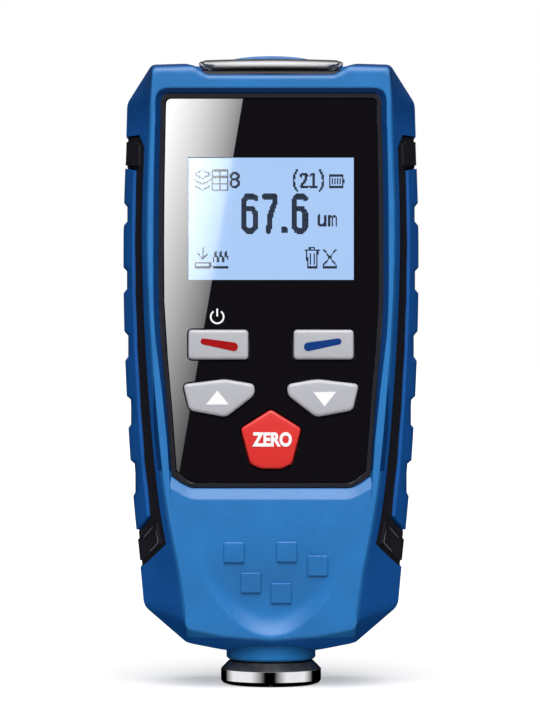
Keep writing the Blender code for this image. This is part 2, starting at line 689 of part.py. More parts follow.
def scoop(name, sink):
    """Thumb scoop of the chin. Its rim is a parabola, open upwards; across it the floor is a
    parabola too, and its depth rises fast from the lower rim and fades out upwards."""
    spread = np.linspace(-1.12, 1.12, 11)
    stack = []
    for share in (0.004, 0.03, 0.08, 0.16, 0.28, 0.42, 0.58, 0.75, 0.9, 1.06):
        z = SCOOP_BOTTOM + share * SCOOP_HEIGHT
        half = math.sqrt(SCOOP_ROUND * share * SCOOP_HEIGHT)
        deep = 2.6 * SCOOP_DEPTH * math.sqrt(share) * (1.0 - share)
        face = float(face_depth(z)) + sink
        floor = [(half * s, face + deep * (1.0 - s * s), z) for s in spread]
        front = face - 2.0 * SCOOP_DEPTH
        stack.append(floor + [(1.12 * half, front, z), (-1.12 * half, front, z)])
    return rings(name, stack)


def make_front_skin(finish):
    """Blue skin of the front half: crest, flanks, chin with its scoop and five raised squares."""
    skin = body("front_overmold", 0.0, None, PARTING - GAP / 2, finish)
    cut(skin, cut(body("inner", SKIN, None, PARTING + GAP), scoop("scoop", SKIN)))
    slope = rings("recess", [
        along("Y", opening_outline(RIM + 2 * BEVEL, RIM + BEVEL + 1.0 * MM, RIM + 2.9 * BEVEL, 2.6 * MM),
              FRONT - RIM_SINK),
        along("Y", opening_outline(RIM + GAP / 2, RIM + GAP / 2, RIM + GAP / 2, 1.5 * MM), FRONT + RIM_SINK),
        along("Y", opening_outline(RIM + GAP, RIM + GAP, RIM + GAP, 1.5 * MM), CAVITY_FRONT)])
    cut(skin, slope, window_prism("window", BACK))
    cut(skin, notch_prism("notch", NOTCH_FLOOR, NOTCH_HALF, FRONT - GAP, BACK))
    cut(skin, probe_hole(COLLAR_RADIUS + GAP, 0.0, SEAT))
    cut(skin, scoop("scoop", 0.0))
    half = SQUARE / 2
    for across_mm, up_mm in SQUARES:
        x, z = across_mm * MM, BODY_BOTTOM + up_mm * MM
        outline = rectangle(x - half, x + half, z - half, z + half)
        depth = float(face_depth(z))
        floors = [scoop_depth(*corner) for corner in outline]
        deep = depth + (SKIN + min(floors) + max(floors)) / 2
        add(skin, rings("square", [along("Y", grown(outline, -SQUARE_RISE), depth - SQUARE_RISE),
                                   along("Y", outline, depth), along("Y", outline, deep)]))
    return skin


def make_front_shell(finish):
    """Hard front half: lip round the lens, lens pocket, posts and the pads on its flanks."""
    shell = body("front_shell", UNDER, None, PARTING - GAP / 2, finish)
    lip = prism("lip", "Y", opening_outline(RIM, RIM, RIM, 1.4 * MM), FRONT + RIM_SINK,
                CAVITY_FRONT)
    add(shell, lip)
    cavity = body("cavity", INSIDE, CAVITY_FRONT, PARTING + GAP)
    cut(shell, cavity)
    add(shell, cap_bridge(CAVITY_FRONT - FRONT_WALL, PARTING - GAP / 2))
    raise_flanks(shell, front_strip(), STRIP_SINK, STRIP_FRONT, PARTING - GAP / 2)
    raise_flanks(shell, pad_prisms(), PAD_SINK, STRIP_FRONT, PARTING - GAP / 2)
    pocket = opening_outline(LENS_FIT, LENS_FIT, LENS_FIT, 0.9 * MM)
    cut(shell, prism("pocket", "Y", pocket, FRONT - GAP, POCKET))
    cut(shell, notch_prism("notch", NOTCH_FLOOR + CAP_LIP, NOTCH_HALF - 0.5 * MM, FRONT - GAP, BACK))
    frame = DISPLAY_FRAME + GAP
    cut(shell, box("display_hole", (-DISPLAY_HALF - frame, POCKET - GAP, DISPLAY_BOTTOM - 0.6 * MM - frame),
                   (DISPLAY_HALF + frame, CAVITY_FRONT + GAP, DISPLAY_TOP + 0.6 * MM + frame)))
    for outline in key_outlines().values():
        cut(shell, prism("key_hole", "Y", grown(outline, KEY_FIT), POCKET - GAP, CAVITY_FRONT + GAP))
    back = BOARD_FRONT - GAP
    for place in board_posts():
        add(shell, prism("post", "Y", circle(BOARD_POST, place, 12), CAVITY_FRONT - GAP, back))
        cut(shell, prism("pilot", "Y", circle(SCREW_RADIUS + GAP, place, 12), back - 2.6 * MM, back + GAP))
    for place in case_posts():
        add(shell, prism("post", "Y", circle(POST_RADIUS, place, 12), CAVITY_FRONT - GAP, PARTING - GAP / 2))
        cut(shell, prism("pilot", "Y", circle(SCREW_RADIUS + GAP, place, 12), PARTING - 4.0 * MM,
                         PARTING + GAP))
    cut(shell, scoop("scoop", UNDER))
    cut(shell, probe_hole(COLLAR_RADIUS + GAP, 0.0, SEAT + GAP))
    cut(shell, probe_hole(COLLAR_RADIUS + COLLAR_FLANGE + GAP, SEAT, SEAT + 6.0 * MM))
    return shell


def notch_rows():
    """Middle and height of each grip notch, evenly spaced down the grip."""
    pitch = (GRIP_TOP - GRIP_BOTTOM) / (NOTCH_COUNT + 0.47)
    return [(GRIP_TOP - (i + 0.69) * pitch, NOTCH_HEIGHT + i * NOTCH_GROWTH) for i in range(NOTCH_COUNT)]


def make_rear_skin(finish):
    """Blue skin of the rear half, with the notched grips that lap over the front half's flanks."""
    skin = body("rear_overmold", 0.0, GRIP_FRONT, BACK, finish)
    cut(skin, body("inner", SKIN, GRIP_FRONT - GAP, BACK - SKIN))
    start = PARTING + GAP / 2
    reach = 3 * HALF_WIDTH
    upper = [(GRIP_FRONT - GAP, GRIP_TOP - 0.5 * MM), (start, GRIP_TOP), (start, BODY_TOP * 1.2),
             (GRIP_FRONT - GAP, BODY_TOP * 1.2)]
    lower = [(GRIP_FRONT - GAP, -BODY_BOTTOM), (start, -BODY_BOTTOM), (start, GRIP_BOTTOM),
             (GRIP_FRONT - GAP, GRIP_BOTTOM + GRIP_SLANT)]
    cut(skin, prism("above", "X", upper, -reach, reach), prism("below", "X", lower, -reach, reach))
    back = PAD_BACK + 1.0 * MM
    for low, high in ((GRIP_TOP, STRIP_TOP), (STRIP_BOTTOM, GRIP_BOTTOM)):
        cut(skin, box("pad_window", (-reach, PARTING - GAP, low), (reach, back, high)))
    for z, height in notch_rows():
        half = height / 2 - NOTCH_RUN
        wide = half + NOTCH_RUN * (NOTCH_DEPTH + MM) / NOTCH_DEPTH
        for side in (-1, 1):
            deep = side * (grip_half(z) - NOTCH_DEPTH)
            out = side * (grip_half(z) + MM)
            outline = [(out, z - wide), (deep, z - half), (deep, z + half), (out, z + wide)]
            cut(skin, prism("notch", "Y", outline, GRIP_FRONT - GAP, NOTCH_BACK))
    cut(skin, prism("back_opening", "Y", back_outline(0.0), BACK - 4 * SKIN, BACK + GAP))
    base = BODY_TOP + DOME_LIFT
    arc = [(DOME_HALF * math.cos(math.pi * k / 12), base + DOME_RISE * math.sin(math.pi * k / 12))
           for k in range(13)]
    dome = prism("dome", "Y", [(DOME_HALF, BODY_TOP - SKIN / 2)] + arc + [(-DOME_HALF, BODY_TOP - SKIN / 2)],
                 CAP_BACK + 2.0 * MM, CAP_BACK + 5.0 * MM)
    cut(skin, notch_prism("notch", NOTCH_FLOOR, NOTCH_HALF, PARTING - GAP, CAP_BACK + 1.0 * MM))
    add(skin, dome)
    cut(skin, probe_hole(COLLAR_RADIUS + GAP, 0.0, SEAT))
    return skin


def back_outline(inset):
    """Outline of the hard plate that shows through the blue skin at the back."""
    half = DOOR_HALF + PLATE_MARGIN - inset
    low = BODY_BOTTOM + PLATE_LIFT + inset
    high = BODY_TOP - PLATE_DROP - inset
    return rounded(rectangle(-half, half, low, high), 2.5 * MM - inset)


def grip_half(z):
    """Half width of the silhouette at a height."""
    edge = body_outlines()[1]
    rows = edge[3:-2]
    return float(np.interp(z, rows[:, 1], rows[:, 0]))


def make_rear_shell(finish):
    """Hard rear half: battery bay, door recess, screw posts and the pads on its flanks."""
    start = PARTING + GAP / 2
    shell = body("rear_shell", UNDER, start, BACK - UNDER, finish)
    add(shell, prism("back_plate", "Y", back_outline(GAP), BACK - 3 * SKIN, BACK))
    cut(shell, body("cavity", INSIDE, start - GAP, BACK - INSIDE))
    add(shell, cap_bridge(start, CAP_BACK + 1.5 * MM))
    raise_flanks(shell, rear_strips(), STRIP_SINK, start, PAD_BACK + 1.0 * MM)
    raise_flanks(shell, pad_prisms(), PAD_SINK, start, PAD_BACK + GAP)
    wall = BAY_WALL
    floor = CELL_Y - CELL_RADIUS - GAP
    add(shell, box("bay", (-BAY_HALF - wall, floor - wall, BAY_BOTTOM - wall),
                   (BAY_HALF + wall, BACK - INSIDE + wall, BAY_TOP + wall)))
    recess = DOOR_FACE - DOOR_THICK - GAP
    cut(shell, box("bay_space", (-BAY_HALF, floor, BAY_BOTTOM), (BAY_HALF, BACK + GAP, BAY_TOP)))
    cut(shell, box("door_recess", (-DOOR_HALF - GAP, recess, DOOR_BOTTOM - GAP),
                   (DOOR_HALF + GAP, BACK + GAP, DOOR_TOP + GAP)))
    hook = box("hook_space", (-8.0 * MM, DOOR_FACE - 3.2 * MM, DOOR_TOP - 3.0 * MM),
               (8.0 * MM, recess + GAP, DOOR_TOP + 2.2 * MM))
    cut(shell, hook)
    cut(shell, notch_prism("notch", NOTCH_FLOOR + CAP_LIP, NOTCH_HALF - 0.5 * MM, PARTING - GAP,
                           CAP_BACK + GAP))
    for place in case_posts():
        add(shell, prism("post", "Y", circle(POST_RADIUS, place, 12), start, BACK - 2 * SKIN))
        cut(shell, prism("shank", "Y", circle(SCREW_RADIUS + 2 * GAP, place, 12), start - GAP, BACK + GAP))
        cut(shell, prism("head", "Y", circle(1.9 * MM, place, 12), BACK - HEAD_SINK, BACK + GAP))
    cut(shell, probe_hole(COLLAR_RADIUS + GAP, 0.0, SEAT + GAP))
    cut(shell, probe_hole(COLLAR_RADIUS + COLLAR_FLANGE + GAP, SEAT, SEAT + 6.0 * MM))
    return shell


def make_cap(finish):
    """Dark cap in the notch of the top edge, with a crowned top and slanted ends."""
    low = NOTCH_FLOOR + CAP_LIP + GAP
    half = NOTCH_HALF - 0.5 * MM - GAP
    top_half = half + CAP_NOTCH_FLARE / CAP_NOTCH_DEPTH * (CAP_RISE - CAP_CROWN)
    top = low + CAP_RISE - CAP_CROWN
    crown = [(top_half * math.cos(math.pi * k / 10), top + CAP_CROWN * math.sin(math.pi * k / 10))
             for k in range(11)]
    shoulder = top - 0.6 * MM
    outline = [(-half, low), (half, low), (top_half, shoulder)] + crown + [(-top_half, shoulder)]
    small = [(x * 0.95, max(z - 0.35 * MM, low)) for x, z in outline]
    rings("top_cap", [along("Y", small, CAP_FRONT), along("Y", outline, CAP_FRONT + 0.6 * MM),
                      along("Y", outline, CAP_BACK - 0.6 * MM), along("Y", small, CAP_BACK)], finish)


def make_board(finish, part_finish, tin):
    """Circuit board on its posts, its larger components and the sounder."""
    back = BOARD_FRONT + BOARD_THICK
    outline = rounded([(-BOARD_HALF + 2.0 * MM, BOARD_BOTTOM), (BOARD_HALF - 2.0 * MM, BOARD_BOTTOM),
                       (BOARD_HALF, BOARD_BOTTOM + 8.0 * MM), (BOARD_HALF, BOARD_TOP),
                       (-BOARD_HALF, BOARD_TOP), (-BOARD_HALF, BOARD_BOTTOM + 8.0 * MM)], 1.0 * MM)
    board = prism("main_board", "Y", outline, BOARD_FRONT, back, finish)
    for place in board_posts():
        cut(board, prism("hole", "Y", circle(SCREW_RADIUS + GAP, place, 12), BOARD_FRONT - GAP, back + GAP))
    face = back + GAP
    middle = (BOARD_TOP + BOARD_BOTTOM) / 2
    for name, x, z, wide, high, tall in (("controller_chip", -5.0, 10.0, 10.0, 10.0, CHIP_HEIGHT),
                                         ("power_coil", -14.0, 12.0, 5.0, 5.0, PART_SPACE / 1.5),
                                         ("signal_chip", -11.0, -6.0, 7.0, 5.0, CHIP_HEIGHT),
                                         ("clock_crystal", 8.0, 5.0, 6.0, 3.0, CHIP_HEIGHT)):
        box(name, (x * MM, face, middle + z * MM),
            ((x + wide) * MM, face + tall, middle + (z + high) * MM), part_finish)
    centre = (BOARD_HALF - BUZZER_RADIUS - 2.6 * MM, middle - 12.0 * MM)
    sounder = prism("buzzer", "Y", circle(BUZZER_RADIUS, centre, 20), face, face + BUZZER_HEIGHT, part_finish)
    cut(sounder, prism("port", "Y", circle(BUZZER_RADIUS / 5, centre, 12), face + BUZZER_HEIGHT / 2,
                       face + BUZZER_HEIGHT + GAP))
    make_screws("board_screw", board_posts(), back + GAP, 1.5 * MM, 0.9 * MM, -4.2 * MM, tin)


def make_screws(name, places, seat, head_radius, head, length, finish):
    """Equal screws along Y; the head lies behind the seat and the shank points forward."""
    for i, (x, z) in enumerate(places):
        shank = circle(SCREW_RADIUS, (x, z), 10)
        wide = circle(head_radius, (x, z), 10)
        low = seat + length
        stack = [along("Y", shank, low), along("Y", shank, seat), along("Y", wide, seat),
                 along("Y", wide, seat + head)]
        screw = rings(f"{name}_{i + 1}", stack, finish)
        cut(screw, box("slot", (x - 2 * head_radius, seat + head / 2, z - 0.2 * MM),
                       (x + 2 * head_radius, seat + 2 * head, z + 0.2 * MM)))


def make_cells(sleeve, tin):
    """Two cells side by side, the springs below them and the plate that joins their tops."""
    for side, label in ((-1, "left"), (1, "right")):
        x = side * CELL_PITCH / 2
        body_top = CELL_LENGTH - 1.0 * MM
        turned("battery_cell_" + label,
               [(0.0, 0.0), (CELL_RADIUS - 0.4 * MM, 0.0), (CELL_RADIUS, 0.4 * MM),
                (CELL_RADIUS, body_top - 0.4 * MM), (CELL_RADIUS - 0.4 * MM, body_top),
                (1.9 * MM, body_top), (1.9 * MM, CELL_LENGTH), (0.0, CELL_LENGTH)],
               28, sleeve, (x, CELL_Y, CELL_BOTTOM))
        coil("battery_spring_" + label, (x, CELL_Y, BAY_BOTTOM + GAP), SPRING_SPACE - 2 * GAP, 3, 3.6 * MM,
             2.0 * MM, 0.3 * MM, tin)
    low = CELL_BOTTOM + CELL_LENGTH + GAP
    strip = CELL_PITCH / 2 + 3.0 * MM
    box("contact_plate", (-strip, CELL_Y - 3.5 * MM, low), (strip, CELL_Y + 3.5 * MM, low + PLATE), tin)


def coil(name, foot, height, turns, radius, top_radius, wire, finish):
    """A wound spring as a wire swept along a helix, with flat ground ends."""
    count = turns * 14
    curve = bpy.data.curves.new(name, "CURVE")
    curve.dimensions = "3D"
    curve.bevel_depth = wire
    curve.bevel_resolution = 1
    curve.use_fill_caps = True
    spline = curve.splines.new("POLY")
    spline.points.add(count)
    for i, point in enumerate(spline.points):
        share = i / count
        rise = np.interp(share, (0.0, 0.12, 0.88, 1.0), (0.0, 0.06, 0.94, 1.0))
        turn = 2 * math.pi * turns * share
        reach = radius + (top_radius - radius) * share
        point.co = (reach * math.cos(turn), reach * math.sin(turn), wire + rise * (height - 2 * wire), 1.0)
    item = bpy.data.objects.new(name, curve)
    bpy.context.collection.objects.link(item)
    item.location = foot
    curve.materials.append(finish)
    return item


def make_door(finish):
    """Battery door: plate with two hooks at its top edge and a sprung latch tongue at its foot."""
    inner = DOOR_FACE - DOOR_THICK
    axis = (0.0, DOOR_FACE, DOOR_TOP)
    outline = rounded(rectangle(-DOOR_HALF, DOOR_HALF, DOOR_BOTTOM, DOOR_TOP), 1.2 * MM)
    door = prism("battery_door", "Y", outline, inner, DOOR_FACE, finish)
    slot = 0.7 * MM
    for left in (-LATCH_HALF - slot, LATCH_HALF):
        cut(door, box("slot", (left, inner - GAP, DOOR_BOTTOM + 1.2 * MM),
                      (left + slot, BACK, DOOR_BOTTOM + LATCH_LENGTH)))
    for k in range(5):
        z = DOOR_BOTTOM + LATCH_LENGTH + (3.0 + 2.2 * k) * MM
        cut(door, box("groove", (-6.0 * MM, DOOR_FACE - 0.5 * MM, z), (6.0 * MM, BACK, z + 1.0 * MM)))
    for x in (-6.0 * MM, 4.0 * MM):
        hook = [(inner + 0.2 * MM, DOOR_TOP - 1.8 * MM), (inner + 0.2 * MM, DOOR_TOP - 1.0 * MM),
                (inner - 0.3 * MM, DOOR_TOP + 1.2 * MM), (inner - 1.0 * MM, DOOR_TOP + 1.2 * MM),
                (inner - 1.0 * MM, DOOR_TOP - 1.8 * MM)]
        add(door, prism("hook", "X", hook, x, x + 2.0 * MM))
    move_origin(door, axis)


def move_origin(item, place):
    """Set a piece's origin without moving the piece."""
    shift = Vector(place) - item.location
    item.data.transform(Matrix.Translation(-shift))
    item.location = place


def make_probe(blue, chrome, steel, plastic, brass):
    """Collar, turned foot, lock nut, guide, and the sprung measuring tip with its coil."""
    flange = SEAT + GAP
    turned("probe_collar", [(TUBE_RADIUS + GAP, COLLAR_BOTTOM), (COLLAR_RADIUS - 0.5 * MM, COLLAR_BOTTOM),
                            (COLLAR_RADIUS, COLLAR_BOTTOM + 0.5 * MM), (COLLAR_RADIUS, flange),
                            (COLLAR_RADIUS + COLLAR_FLANGE, flange),
                            (COLLAR_RADIUS + COLLAR_FLANGE, flange + 1.0 * MM),
                            (TUBE_RADIUS + GAP, flange + 1.0 * MM)], 48, blue)
    shoulder = COLLAR_BOTTOM - GAP
    foot = turned("probe_foot", [(PROBE_BORE, 0.0), (FOOT_FACE, 0.0), (FOOT_RADIUS - 0.35 * MM, 0.25 * MM),
                                 (FOOT_RADIUS, FOOT_CHAMFER), (FOOT_RADIUS, FOOT_BAND),
                                 (FOOT_NECK, shoulder), (TUBE_RADIUS, shoulder),
                                 (TUBE_RADIUS, TUBE_TOP), (PROBE_BORE, TUBE_TOP)], 56, chrome)
    groove = [(-GROOVE_DEPTH, -GAP), (GROOVE_DEPTH, -GAP), (0.0, GROOVE_DEPTH)]
    cut(foot, prism("groove", "X", groove, -2 * FOOT_RADIUS, 2 * FOOT_RADIUS))
    nut_low = flange + 1.0 * MM + GAP
    nut = turned("lock_nut", [(TUBE_RADIUS + GAP, nut_low), (NUT_RADIUS, nut_low),
                              (NUT_RADIUS, nut_low + NUT_HEIGHT), (TUBE_RADIUS + GAP, nut_low + NUT_HEIGHT)],
                 36, brass)
    for k in range(4):
        turn = math.radians(45 + 90 * k)
        place = (NUT_RADIUS * math.cos(turn), NUT_RADIUS * math.sin(turn))
        cut(nut, prism("notch", "Z", circle(1.0 * MM, place, 10), nut_low - GAP, nut_low + NUT_HEIGHT + GAP))
    base = nut_low + NUT_HEIGHT + GAP
    skirt = TUBE_RADIUS + 1.3 * MM
    neck = TUBE_RADIUS - 0.4 * MM
    turned("probe_guide", [(TUBE_RADIUS + GAP, base), (skirt, base), (skirt, TUBE_TOP + 1.0 * MM),
                           (neck, TUBE_TOP + 1.4 * MM), (neck, GUIDE_TOP), (1.2 * MM, GUIDE_TOP),
                           (1.2 * MM, GUIDE_TOP - 1.5 * MM), (PROBE_BORE, GUIDE_TOP - 1.5 * MM),
                           (PROBE_BORE, TUBE_TOP + GAP), (TUBE_RADIUS + GAP, TUBE_TOP + GAP)], 36, plastic)
    tip_base = 3.2 * MM
    dome = [(TIP_RADIUS * math.sin(t), TIP_CLEAR + TIP_RADIUS * (1 - math.cos(t)))
            for t in (0.0, math.pi / 8, math.pi / 4, 3 * math.pi / 8, math.pi / 2)]
    turned("probe_tip", dome + [(TIP_RADIUS, tip_base), (0.0, tip_base)], 20, steel)
    coil_low = tip_base + GAP
    turned("probe_coil", [(0.0, coil_low), (COIL_RADIUS, coil_low), (COIL_RADIUS, coil_low + 1.0 * MM),
                          (COIL_RADIUS - 0.8 * MM, coil_low + 1.2 * MM),
                          (COIL_RADIUS - 0.8 * MM, coil_low + COIL_LENGTH - 1.2 * MM),
                          (COIL_RADIUS, coil_low + COIL_LENGTH - 1.0 * MM),
                          (COIL_RADIUS, coil_low + COIL_LENGTH), (0.0, coil_low + COIL_LENGTH)], 24, brass)
    low = coil_low + COIL_LENGTH + GAP
    coil("probe_spring", (0.0, 0.0, low), GUIDE_TOP - 1.5 * MM - GAP - low, 6, 3.4 * MM, 3.4 * MM,
         0.25 * MM, steel)


def main():
    clear_scene()
    blue = material("blue_rubber", (0.03, 0.20, 0.52), 0.55)
    dark = material("dark_plastic", (0.025, 0.026, 0.03), 0.5)
    gloss = material("black_lens", (0.008, 0.007, 0.01), 0.08)
    pale = material("display_glass", (0.43, 0.64, 1.0), 0.3)
    silver = material("silver_key", (0.62, 0.62, 0.66), 0.35)
    red = material("red_key", (0.72, 0.03, 0.03), 0.35)
    silicone = material("grey_silicone", (0.25, 0.26, 0.28), 0.7)
    green = material("green_board", (0.02, 0.16, 0.07), 0.5)
    black = material("component_plastic", (0.02, 0.02, 0.02), 0.5)
    chrome = material("chrome", (0.8, 0.8, 0.82), 0.08, 1.0)
    steel = material("steel", (0.6, 0.6, 0.62), 0.3, 1.0)
    brass = material("brass", (0.75, 0.55, 0.25), 0.35, 1.0)
    sleeve = material("cell_sleeve", (0.08, 0.09, 0.1), 0.35, 0.2)
    cap = material("cap_plastic", (0.09, 0.09, 0.1), 0.3)

    make_front_skin(blue)
    make_rear_skin(blue)
    make_front_shell(dark)
    make_rear_shell(dark)
    make_lens(gloss)
    make_display(pale)
    finishes = {name: silver for name in key_outlines()}
    finishes["key_zero"] = red
    make_keys(finishes)
    make_mat(silicone)
    make_board(green, black, steel)
    make_cells(sleeve, steel)
    make_door(dark)
    make_cap(cap)
    make_probe(blue, chrome, steel, black, brass)
    make_screws("case_screw", case_posts(), BACK - HEAD_SINK + GAP, 1.6 * MM, 1.1 * MM,
                PARTING - 3.4 * MM - BACK + HEAD_SINK, steel)


main()
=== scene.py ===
# %% [markdown]
# # Coating thickness gauge
# A hand-held gauge stands on its chrome probe. Its working parts are already solid, so this
# lesson only gives them their looks: soft blue rubber, dark moulded plastic, a polished black
# window, painted keys and a chromed foot. Lengths are in metres, +Z is up and the screen
# faces -Y. The frame gives each body its place, and nothing here moves one.

# %% Load the frame
import math

import bmesh
import bpy
import numpy as np
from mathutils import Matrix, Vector


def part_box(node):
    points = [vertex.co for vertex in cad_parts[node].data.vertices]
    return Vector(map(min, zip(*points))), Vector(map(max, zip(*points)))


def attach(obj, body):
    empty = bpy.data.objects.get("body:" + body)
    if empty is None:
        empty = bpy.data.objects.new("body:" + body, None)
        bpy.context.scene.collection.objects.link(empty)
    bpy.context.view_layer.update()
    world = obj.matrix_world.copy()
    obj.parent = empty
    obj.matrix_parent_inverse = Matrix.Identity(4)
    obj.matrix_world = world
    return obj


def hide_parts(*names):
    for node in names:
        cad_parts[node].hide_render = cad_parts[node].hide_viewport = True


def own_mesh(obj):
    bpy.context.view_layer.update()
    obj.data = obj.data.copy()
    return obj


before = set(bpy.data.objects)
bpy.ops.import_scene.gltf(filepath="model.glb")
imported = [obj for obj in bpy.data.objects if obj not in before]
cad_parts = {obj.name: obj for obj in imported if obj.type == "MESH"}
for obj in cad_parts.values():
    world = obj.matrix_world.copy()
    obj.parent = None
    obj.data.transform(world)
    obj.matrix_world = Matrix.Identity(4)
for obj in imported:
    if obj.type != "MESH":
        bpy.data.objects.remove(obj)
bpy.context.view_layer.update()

MM = 0.001

# %% [markdown]
# ## Sizes
# The housing is one lofted form between three outlines: the edge of the front face, the
# silhouette where the two halves meet, and the back. These are the sizes that set them, the
# same ones that the solids were built from. What can be read from the frame is read from it.

# %% Housing sizes
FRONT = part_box("front_overmold")[0].y + 0.25 * MM      # the raised squares stand proud of the face
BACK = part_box("rear_shell")[1].y
HALF_WIDTH = 26.685 * MM
BOTTOM = 5.65 * MM
TOP = 112.25 * MM
CROWN = 0.65 * MM               # the top edge is this much higher at its middle
FACET = 4.5 * MM                # the side facets lean out by this much
FLANK = 15.0 * MM               # what lies further out than this belongs to a flank
PARTING = FRONT + 9.5 * MM
SEAM = 0.15 * MM                # half the gap between the two halves
SKIN = 1.0 * MM
CREST_DROP = 0.45 * MM
CHIN_TOP, CHIN_SPAN, CHIN_DROP = 34.0 * MM, 23.0 * MM, 1.5 * MM
SCOOP_DEPTH, SCOOP_REACH, SCOOP_TALL = 1.75 * MM, 4.3 * MM, 12.5 * MM
SCOOP_LOW, SCOOP_ROUND, SCOOP_HALF = BOTTOM + 3.7 * MM, 14.0 * MM, 13.5 * MM
LENS_TOP, LENS_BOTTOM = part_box("lens_panel")[1].z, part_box("lens_panel")[0].z
LENS_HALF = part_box("lens_panel")[1].x
LENS_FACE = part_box("lens_panel")[0].y
HIP, SHOULDER = BOTTOM + 15.25 * MM, TOP - 12.45 * MM
SIDE_SHARES = (0.0, 0.134, 0.39, 0.778, 1.0)
FRONT_INSETS = (5.6, 3.6, 1.4, 0.0, 0.5)
SIDE_INSETS = (3.1, 2.0, 0.6, 0.0, 0.5)
print(f"front {FRONT * 1000:.2f}, back {BACK * 1000:.2f}, lens half width {LENS_HALF * 1000:.2f} mm")

# %% Strips, grips and pads
STRIP_FRONT = FRONT + 2.4 * MM
STRIP_TOP, STRIP_BOTTOM = TOP - 13.05 * MM, BOTTOM + 15.65 * MM
STRIP_SLANT = 4.6 * MM
GRIP_FRONT = FRONT + 6.05 * MM
GRIP_TOP, GRIP_BOTTOM = STRIP_TOP - 5.8 * MM, STRIP_BOTTOM + 6.8 * MM
GRIP_SLANT = 2.6 * MM
WINDOW_BACK = 6.0 * MM
GRIP_TALL = GRIP_TOP - GRIP_BOTTOM
NOTCH_START, NOTCH_STEPS = 0.69, 5.47       # the first notch, and the grip's height, in notch steps
NOTCH_EASE = 0.75 * MM          # length of a notch's ramp at either end
NOTCHES = [(GRIP_TOP - (i + NOTCH_START) * GRIP_TALL / NOTCH_STEPS, (4.1 + 0.6 * i) * MM) for i in range(5)]
COLLAR_HOLE = 8.4 * MM
print("grip notches at", [round(z * 1000, 1) for z, _ in NOTCHES])

# %% [markdown]
# ## From numbers to a mesh
# A surface here is a grid of points: rows run across the form and columns run round it. The
# whole grid is worked out with numpy and handed to Blender in one go, which is quick and keeps
# the formula in sight. Normals are turned outwards once the doubled points are merged.

# %% Grid to mesh
PIECES = {}


def into_scene(name, data):
    """Object for a mesh, a lamp or a camera, put into the scene."""
    item = bpy.data.objects.new(name, data)
    bpy.context.scene.collection.objects.link(item)
    return item


def piece(name, points, quads, finish, body="housing", sharp=38.0):
    """Mesh object from points (n, 3) and faces (m, 4), riding on a body of the frame."""
    mesh = bpy.data.meshes.new(name)
    quads = np.asarray(quads, dtype=np.int32)
    mesh.vertices.add(len(points))
    mesh.vertices.foreach_set("co", np.asarray(points, dtype=np.float32).ravel())
    mesh.loops.add(quads.size)
    mesh.loops.foreach_set("vertex_index", quads.ravel())
    mesh.polygons.add(len(quads))
    mesh.polygons.foreach_set("loop_start", np.arange(0, quads.size, quads.shape[1], dtype=np.int32))
    mesh.update(calc_edges=True)
    work = bmesh.new()
    work.from_mesh(mesh)
    bmesh.ops.remove_doubles(work, verts=work.verts, dist=0.0005 * MM)
    bmesh.ops.dissolve_degenerate(work, edges=work.edges, dist=0.0002 * MM)
    bmesh.ops.recalc_face_normals(work, faces=work.faces)
    work.to_mesh(mesh)
    work.free()
    mesh.shade_smooth()
    mesh.set_sharp_from_angle(angle=math.radians(sharp))
    item = into_scene(name, mesh)
    mesh.materials.append(finish)
    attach(item, body)
    PIECES[name] = item
    print(f"{name}: {len(mesh.polygons)} faces")
    return item


def grid_faces(rows, columns, wrap_rows=False, wrap_columns=False, first=0):
    """Quads between neighbouring points of a rows x columns grid, numbered from first."""
    index = first + np.arange(rows * columns).reshape(rows, columns)
    if wrap_columns:
        index = np.hstack([index, index[:, :1]])
    if wrap_rows:
        index = np.vstack([index, index[:1]])
    return np.stack([index[:-1, :-1], index[:-1, 1:], index[1:, 1:], index[1:, :-1]], axis=-1).reshape(-1, 4)


def grid_piece(name, grid, finish, body="housing", wrap_rows=False, wrap_columns=True, sharp=38.0):
    """Piece from a (rows, columns, 3) grid."""
    rows, columns = grid.shape[:2]
    return piece(name, grid.reshape(-1, 3), grid_faces(rows, columns, wrap_rows, wrap_columns),
                 finish, body, sharp)


print("a grid of 3 x 4 points has", len(grid_faces(3, 4)), "faces")

# %% [markdown]
# ## Outlines with matched points
# Every outline of the housing has the same corners in the same order, so point number i of one
# belongs to point number i of the next. Corners become short quadratic curves. The flanks get
# a column of points at each height where the skin has an edge, so no edge is ever jagged.

# %% Curves and the stations of a flank
def arc_through(start, corner, end, t):
    """Quadratic curve from start to end that leaves and arrives along the lines to the corner."""
    return (1 - t)**2 * start + 2 * t * (1 - t) * corner + t**2 * end


def smooth(heights, knots):
    """Cubic through (height, value) knots, with the slope of the chord across each knot."""
    z, v = np.array(knots).T
    slope = np.gradient(v, z)
    k = np.clip(np.searchsorted(z, heights) - 1, 0, len(z) - 2)
    step = z[k + 1] - z[k]
    t = np.clip((heights - z[k]) / step, 0.0, 1.0)
    return ((2 * t**3 - 3 * t**2 + 1) * v[k] + (t**3 - 2 * t**2 + t) * step * slope[k]
            + (3 * t**2 - 2 * t**3) * v[k + 1] + (t**3 - t**2) * step * slope[k + 1])


def side_curve(low, high, half, shares, insets, heights):
    """Half widths at the given heights, from insets in mm at shares of the way up a side."""
    return smooth(heights, [(low + s * (high - low), half - i * MM) for s, i in zip(shares, insets)])


